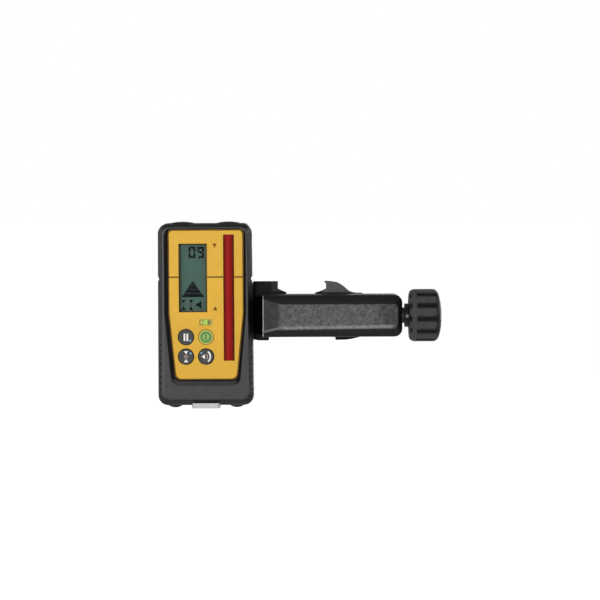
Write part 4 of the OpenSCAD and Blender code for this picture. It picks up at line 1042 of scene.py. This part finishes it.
flange_left, flange_half = arm_low.x * 1000, 14
flange_line = rounded([(flange_left, -flange_half), (arm_end, -flange_half), (arm_end, flange_half),
                               (flange_left, flange_half)], [2.4, 0.05, 0.05, 2.4])
flange_rings = [[(x, y, z) for x, z in flange_line] for y in (arm_back, arm_back - 3.7)]
flange_rings.append([(x + (0.3 if x < arm_end - 1 else 0), arm_back - 4, z * 0.98) for x, z in flange_line])
# Painted shade: the flange and its two socket screws sit deep in the slot between receiver and arm, and are
# painted near black and matt for the shade there.
recess_painted_shade = moulded("recess_painted_shade", grey(5), 0.9, pebble=0.6, relief=30, blotch=4, tone=0.2,
                       specular=0.02)
flange_solid = loft([[Vector(p) / 1000 for p in ring] for ring in flange_rings])
arm_flange = new_piece("arm_flange", flange_solid, recess_painted_shade)
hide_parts("clamp_arm")
dress("arm_screws", recess_painted_shade, 0.2)
dress("inner_bush", brass)
blacked_steel = metal("blacked_steel", (0.028, 0.028, 0.03, 1), 0.45, across=900, along=900)
dress("outer_bush", blacked_steel)


# Clamp screw
# A blackened steel screw with a two-start left-hand thread of 5 mm lead between its journal and its plain
# shank; a thrust washer and a ring keep it in the arm, and a collar with a cross pin carries the knob.
screw_low, screw_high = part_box("clamp_screw")
screw_y, screw_z = (screw_low.y + screw_high.y) / 2, (screw_low.z + screw_high.z) / 2
thread_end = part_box("retaining_ring")[0].x - 0.0006
journal_end = screw_low.x + 0.005
screw_r, thread_deep, thread_pitch, thread_starts = 0.004, 0.0007, 0.0025, 2
turn_steps = 28
stations = [(screw_low.x, 0.0026), (screw_low.x + 0.0004, 0.003), (journal_end, 0.003),
            (journal_end + 0.0001, 0.0036)]
x = journal_end + 0.0006
while x < thread_end:
    stations.append((x, None))
    x += thread_pitch / 8
stations += [(thread_end, screw_r), (screw_high.x - 0.0004, screw_r), (screw_high.x, 0.0036)]


def thread_radius(x, turn):
    wave = (x / thread_pitch + thread_starts * turn) % 1
    return screw_r - thread_deep * min(1, max(0, 2.4 * (1 - abs(2 * wave - 1)) - 0.7))


screw_rings = []
for x, radius in stations:
    ring = []
    for turn in (k / turn_steps for k in range(turn_steps)):
        r = radius or thread_radius(x, turn)
        a = 2 * pi * turn
        ring.append((x, screw_y + r * cos(a), screw_z + r * sin(a)))
    screw_rings.append(ring)
threaded_screw = new_piece("threaded_screw", loft(screw_rings), blacked_steel, "clamp_knob",
                           sharp=50)
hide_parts("clamp_screw")
dress("thrust_washer", plated_steel)
dress("retaining_ring", blacked_steel)
collar_black = metal("collar_black", (0.02, 0.02, 0.021, 1), 0.45, across=1200, along=4000)
dress("knob_collar", collar_black, 0.3)
pin_steel = metal("pin_steel", (0.15, 0.15, 0.15, 1), 0.6)
dress("collar_pin", pin_steel, 0.2)


# Knob
# A fluted hand knob moulded in black nylon, with a smooth shoulder towards the arm and a rounded free end.
# It is pressed on the screw. Its colour is painted lighter on the shoulder and on the ridges' crowns as
# painted highlight, and darker in the flutes and at the free end as painted shade.
knob_low, knob_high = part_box("clamp_knob")
knob_r, knob_len = (knob_high.z - knob_low.z) * 500, (knob_high.x - knob_low.x) * 1000
flute_count, first_flute, flute_r, flute_place, flute_soft = 12, radians(4), 1.9, knob_r + 1.15, 0.12
flute_pitch = 2 * pi / flute_count
flute_steps = (0, 1.5, 3, 4.2, 5, 5.7, 6.5, 8, 11, 15, 19, 22, 23.5, 24.3, 25, 25.8, 27, 28.5)
knob_angles = [first_flute + flute_pitch * i + radians(step)
               for i in range(flute_count) for step in flute_steps]
knob_profile = [(0, 10.0), (0, 15.2)] + eased((0.0, 15.8), (0.3, knob_r - 0.4), (4.3, knob_r), 8)
knob_profile += [(4.7, knob_r), (5.3, knob_r), (knob_len - 7.4, knob_r)]
for bend_a, bend_b, bend_c, steps in (
    ((6.6, 0), (3.0, 0), (1.7, 4.3), 7),
    ((1.35, 5.4), (1.1, 6.4), (0.8, 7.6), 4),
):
    knob_profile += [(knob_len - back, knob_r - down) for back, down in eased(bend_a, bend_b, bend_c, steps)]
knob_profile += [(knob_len - 0.35, 9.0), (knob_len - 0.1, 5.0), (knob_len, 1.0)]


def knob_radius(along, radius, a):
    fluted = min(1, max(0, along - 4.3), max(0, (knob_len - 4.6 - along) / 2))
    off = (a - first_flute + flute_pitch / 2) % flute_pitch - flute_pitch / 2
    r = radius - 0.25 * fluted * (0.5 + 0.5 * cos(flute_count * off))
    inside = flute_r ** 2 - (flute_place * sin(off)) ** 2
    if inside > 0:
        groove = flute_place * cos(off) - sqrt(inside)
        groove = -flute_soft * log(exp(-radius / flute_soft) + exp(-groove / flute_soft))
        r = min(r, radius - fluted * max(0, radius - groove))
    return r / 1000


knob_rings = []
for along, radius in knob_profile:
    reaches = [(a, knob_radius(along, radius, a)) for a in knob_angles]
    knob_rings.append([(knob_low.x + along / 1000, screw_y + r * cos(a), screw_z + r * sin(a))
                       for a, r in reaches])


# Painted light and shade: the crowns between the flutes and the shoulder are painted lighter as highlight,
# while the flutes are painted darker and the free end near black as shade.
def knob_colour(tree, tones):
    split = split_up(tree, place_from(tree, (knob_low.x, screw_y, screw_z)))
    turn = maths(tree, "ARCTAN2", split["Z"], split["Y"])
    flutes = maths(tree, "MULTIPLY_ADD", turn, flute_count, -flute_count * first_flute)
    crown_highlight = ramp(tree, maths(tree, "COSINE", flutes), 0.98, -0.4)
    shoulder = mixed(tree, tones, grey(64), grey(73))
    ridges_with_flute_shade = mixed(tree, crown_highlight, grey(24), shoulder)
    skin = mixed(tree, near(tree, "X", knob_low.x + 0.0035, 0.0012, 0.0022), ridges_with_flute_shade, shoulder)
    return mixed(tree, near(tree, "X", knob_high.x, 0.0026, 0.0056), skin, grey(12))


knob_black = moulded("knob_black_nylon", knob_colour, 0.5, pebble=0.6, relief=30, blotch=4, specular=0.03)
hand_knob = new_piece("hand_knob", loft(knob_rings), knob_black, "clamp_knob", sharp=44)
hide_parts("clamp_knob")


# Moving jaw
# A second nylon jaw that slides along the arm: a guide in the channel with a brass nut on the screw, a lip
# with a pointed tip in front, a sloping tail behind the arm and a rubber facing. Its top is cut to a curve.
jaw_points = [p.co.copy() for p in parts["moving_jaw"].data.vertices]
jaw_faces = [tuple(face.vertices) for face in parts["moving_jaw"].data.polygons]
# Painted highlight: the moving jaw's curved lip is painted much lighter where it catches the light.
moving_lip_highlight = rubbed_front(0.0265, 0.0105, 0.013, 0.0215, 0.004, 0.0065,
                          paint(90, 90, 88), paint(108, 108, 105))
sliding_jaw = new_piece("sliding_jaw", (jaw_points, jaw_faces),
                        jaw_finish("moving_jaw_nylon", moving_lip_highlight), "moving_jaw")
trimmed_top = [(18, 24.8), (21.5, 24.4), (25.6, 23.7), (28.1, 22.4), (30.3, 20.9), (32.1, 19.4), (33.9, 17.9),
               (36.1, 16.4), (36.1, 29), (18, 29)]
lip_front, jaw_back, trim_fall = arm_high.y + 0.0004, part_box("moving_jaw")[1].y + 0.001, 0.085
top_cut = [[Vector((x / 1000, y, z / 1000 - trim_fall * (y - lip_front))) for x, z in trimmed_top]
           for y in (lip_front, jaw_back)]
cut_away(sliding_jaw, prisms=[top_cut])
soft_edges(sliding_jaw, 0.7)
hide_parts("moving_jaw")
dress("jaw_nut", brass)
dress("moving_jaw_pad", pad_rubber, 0.3)
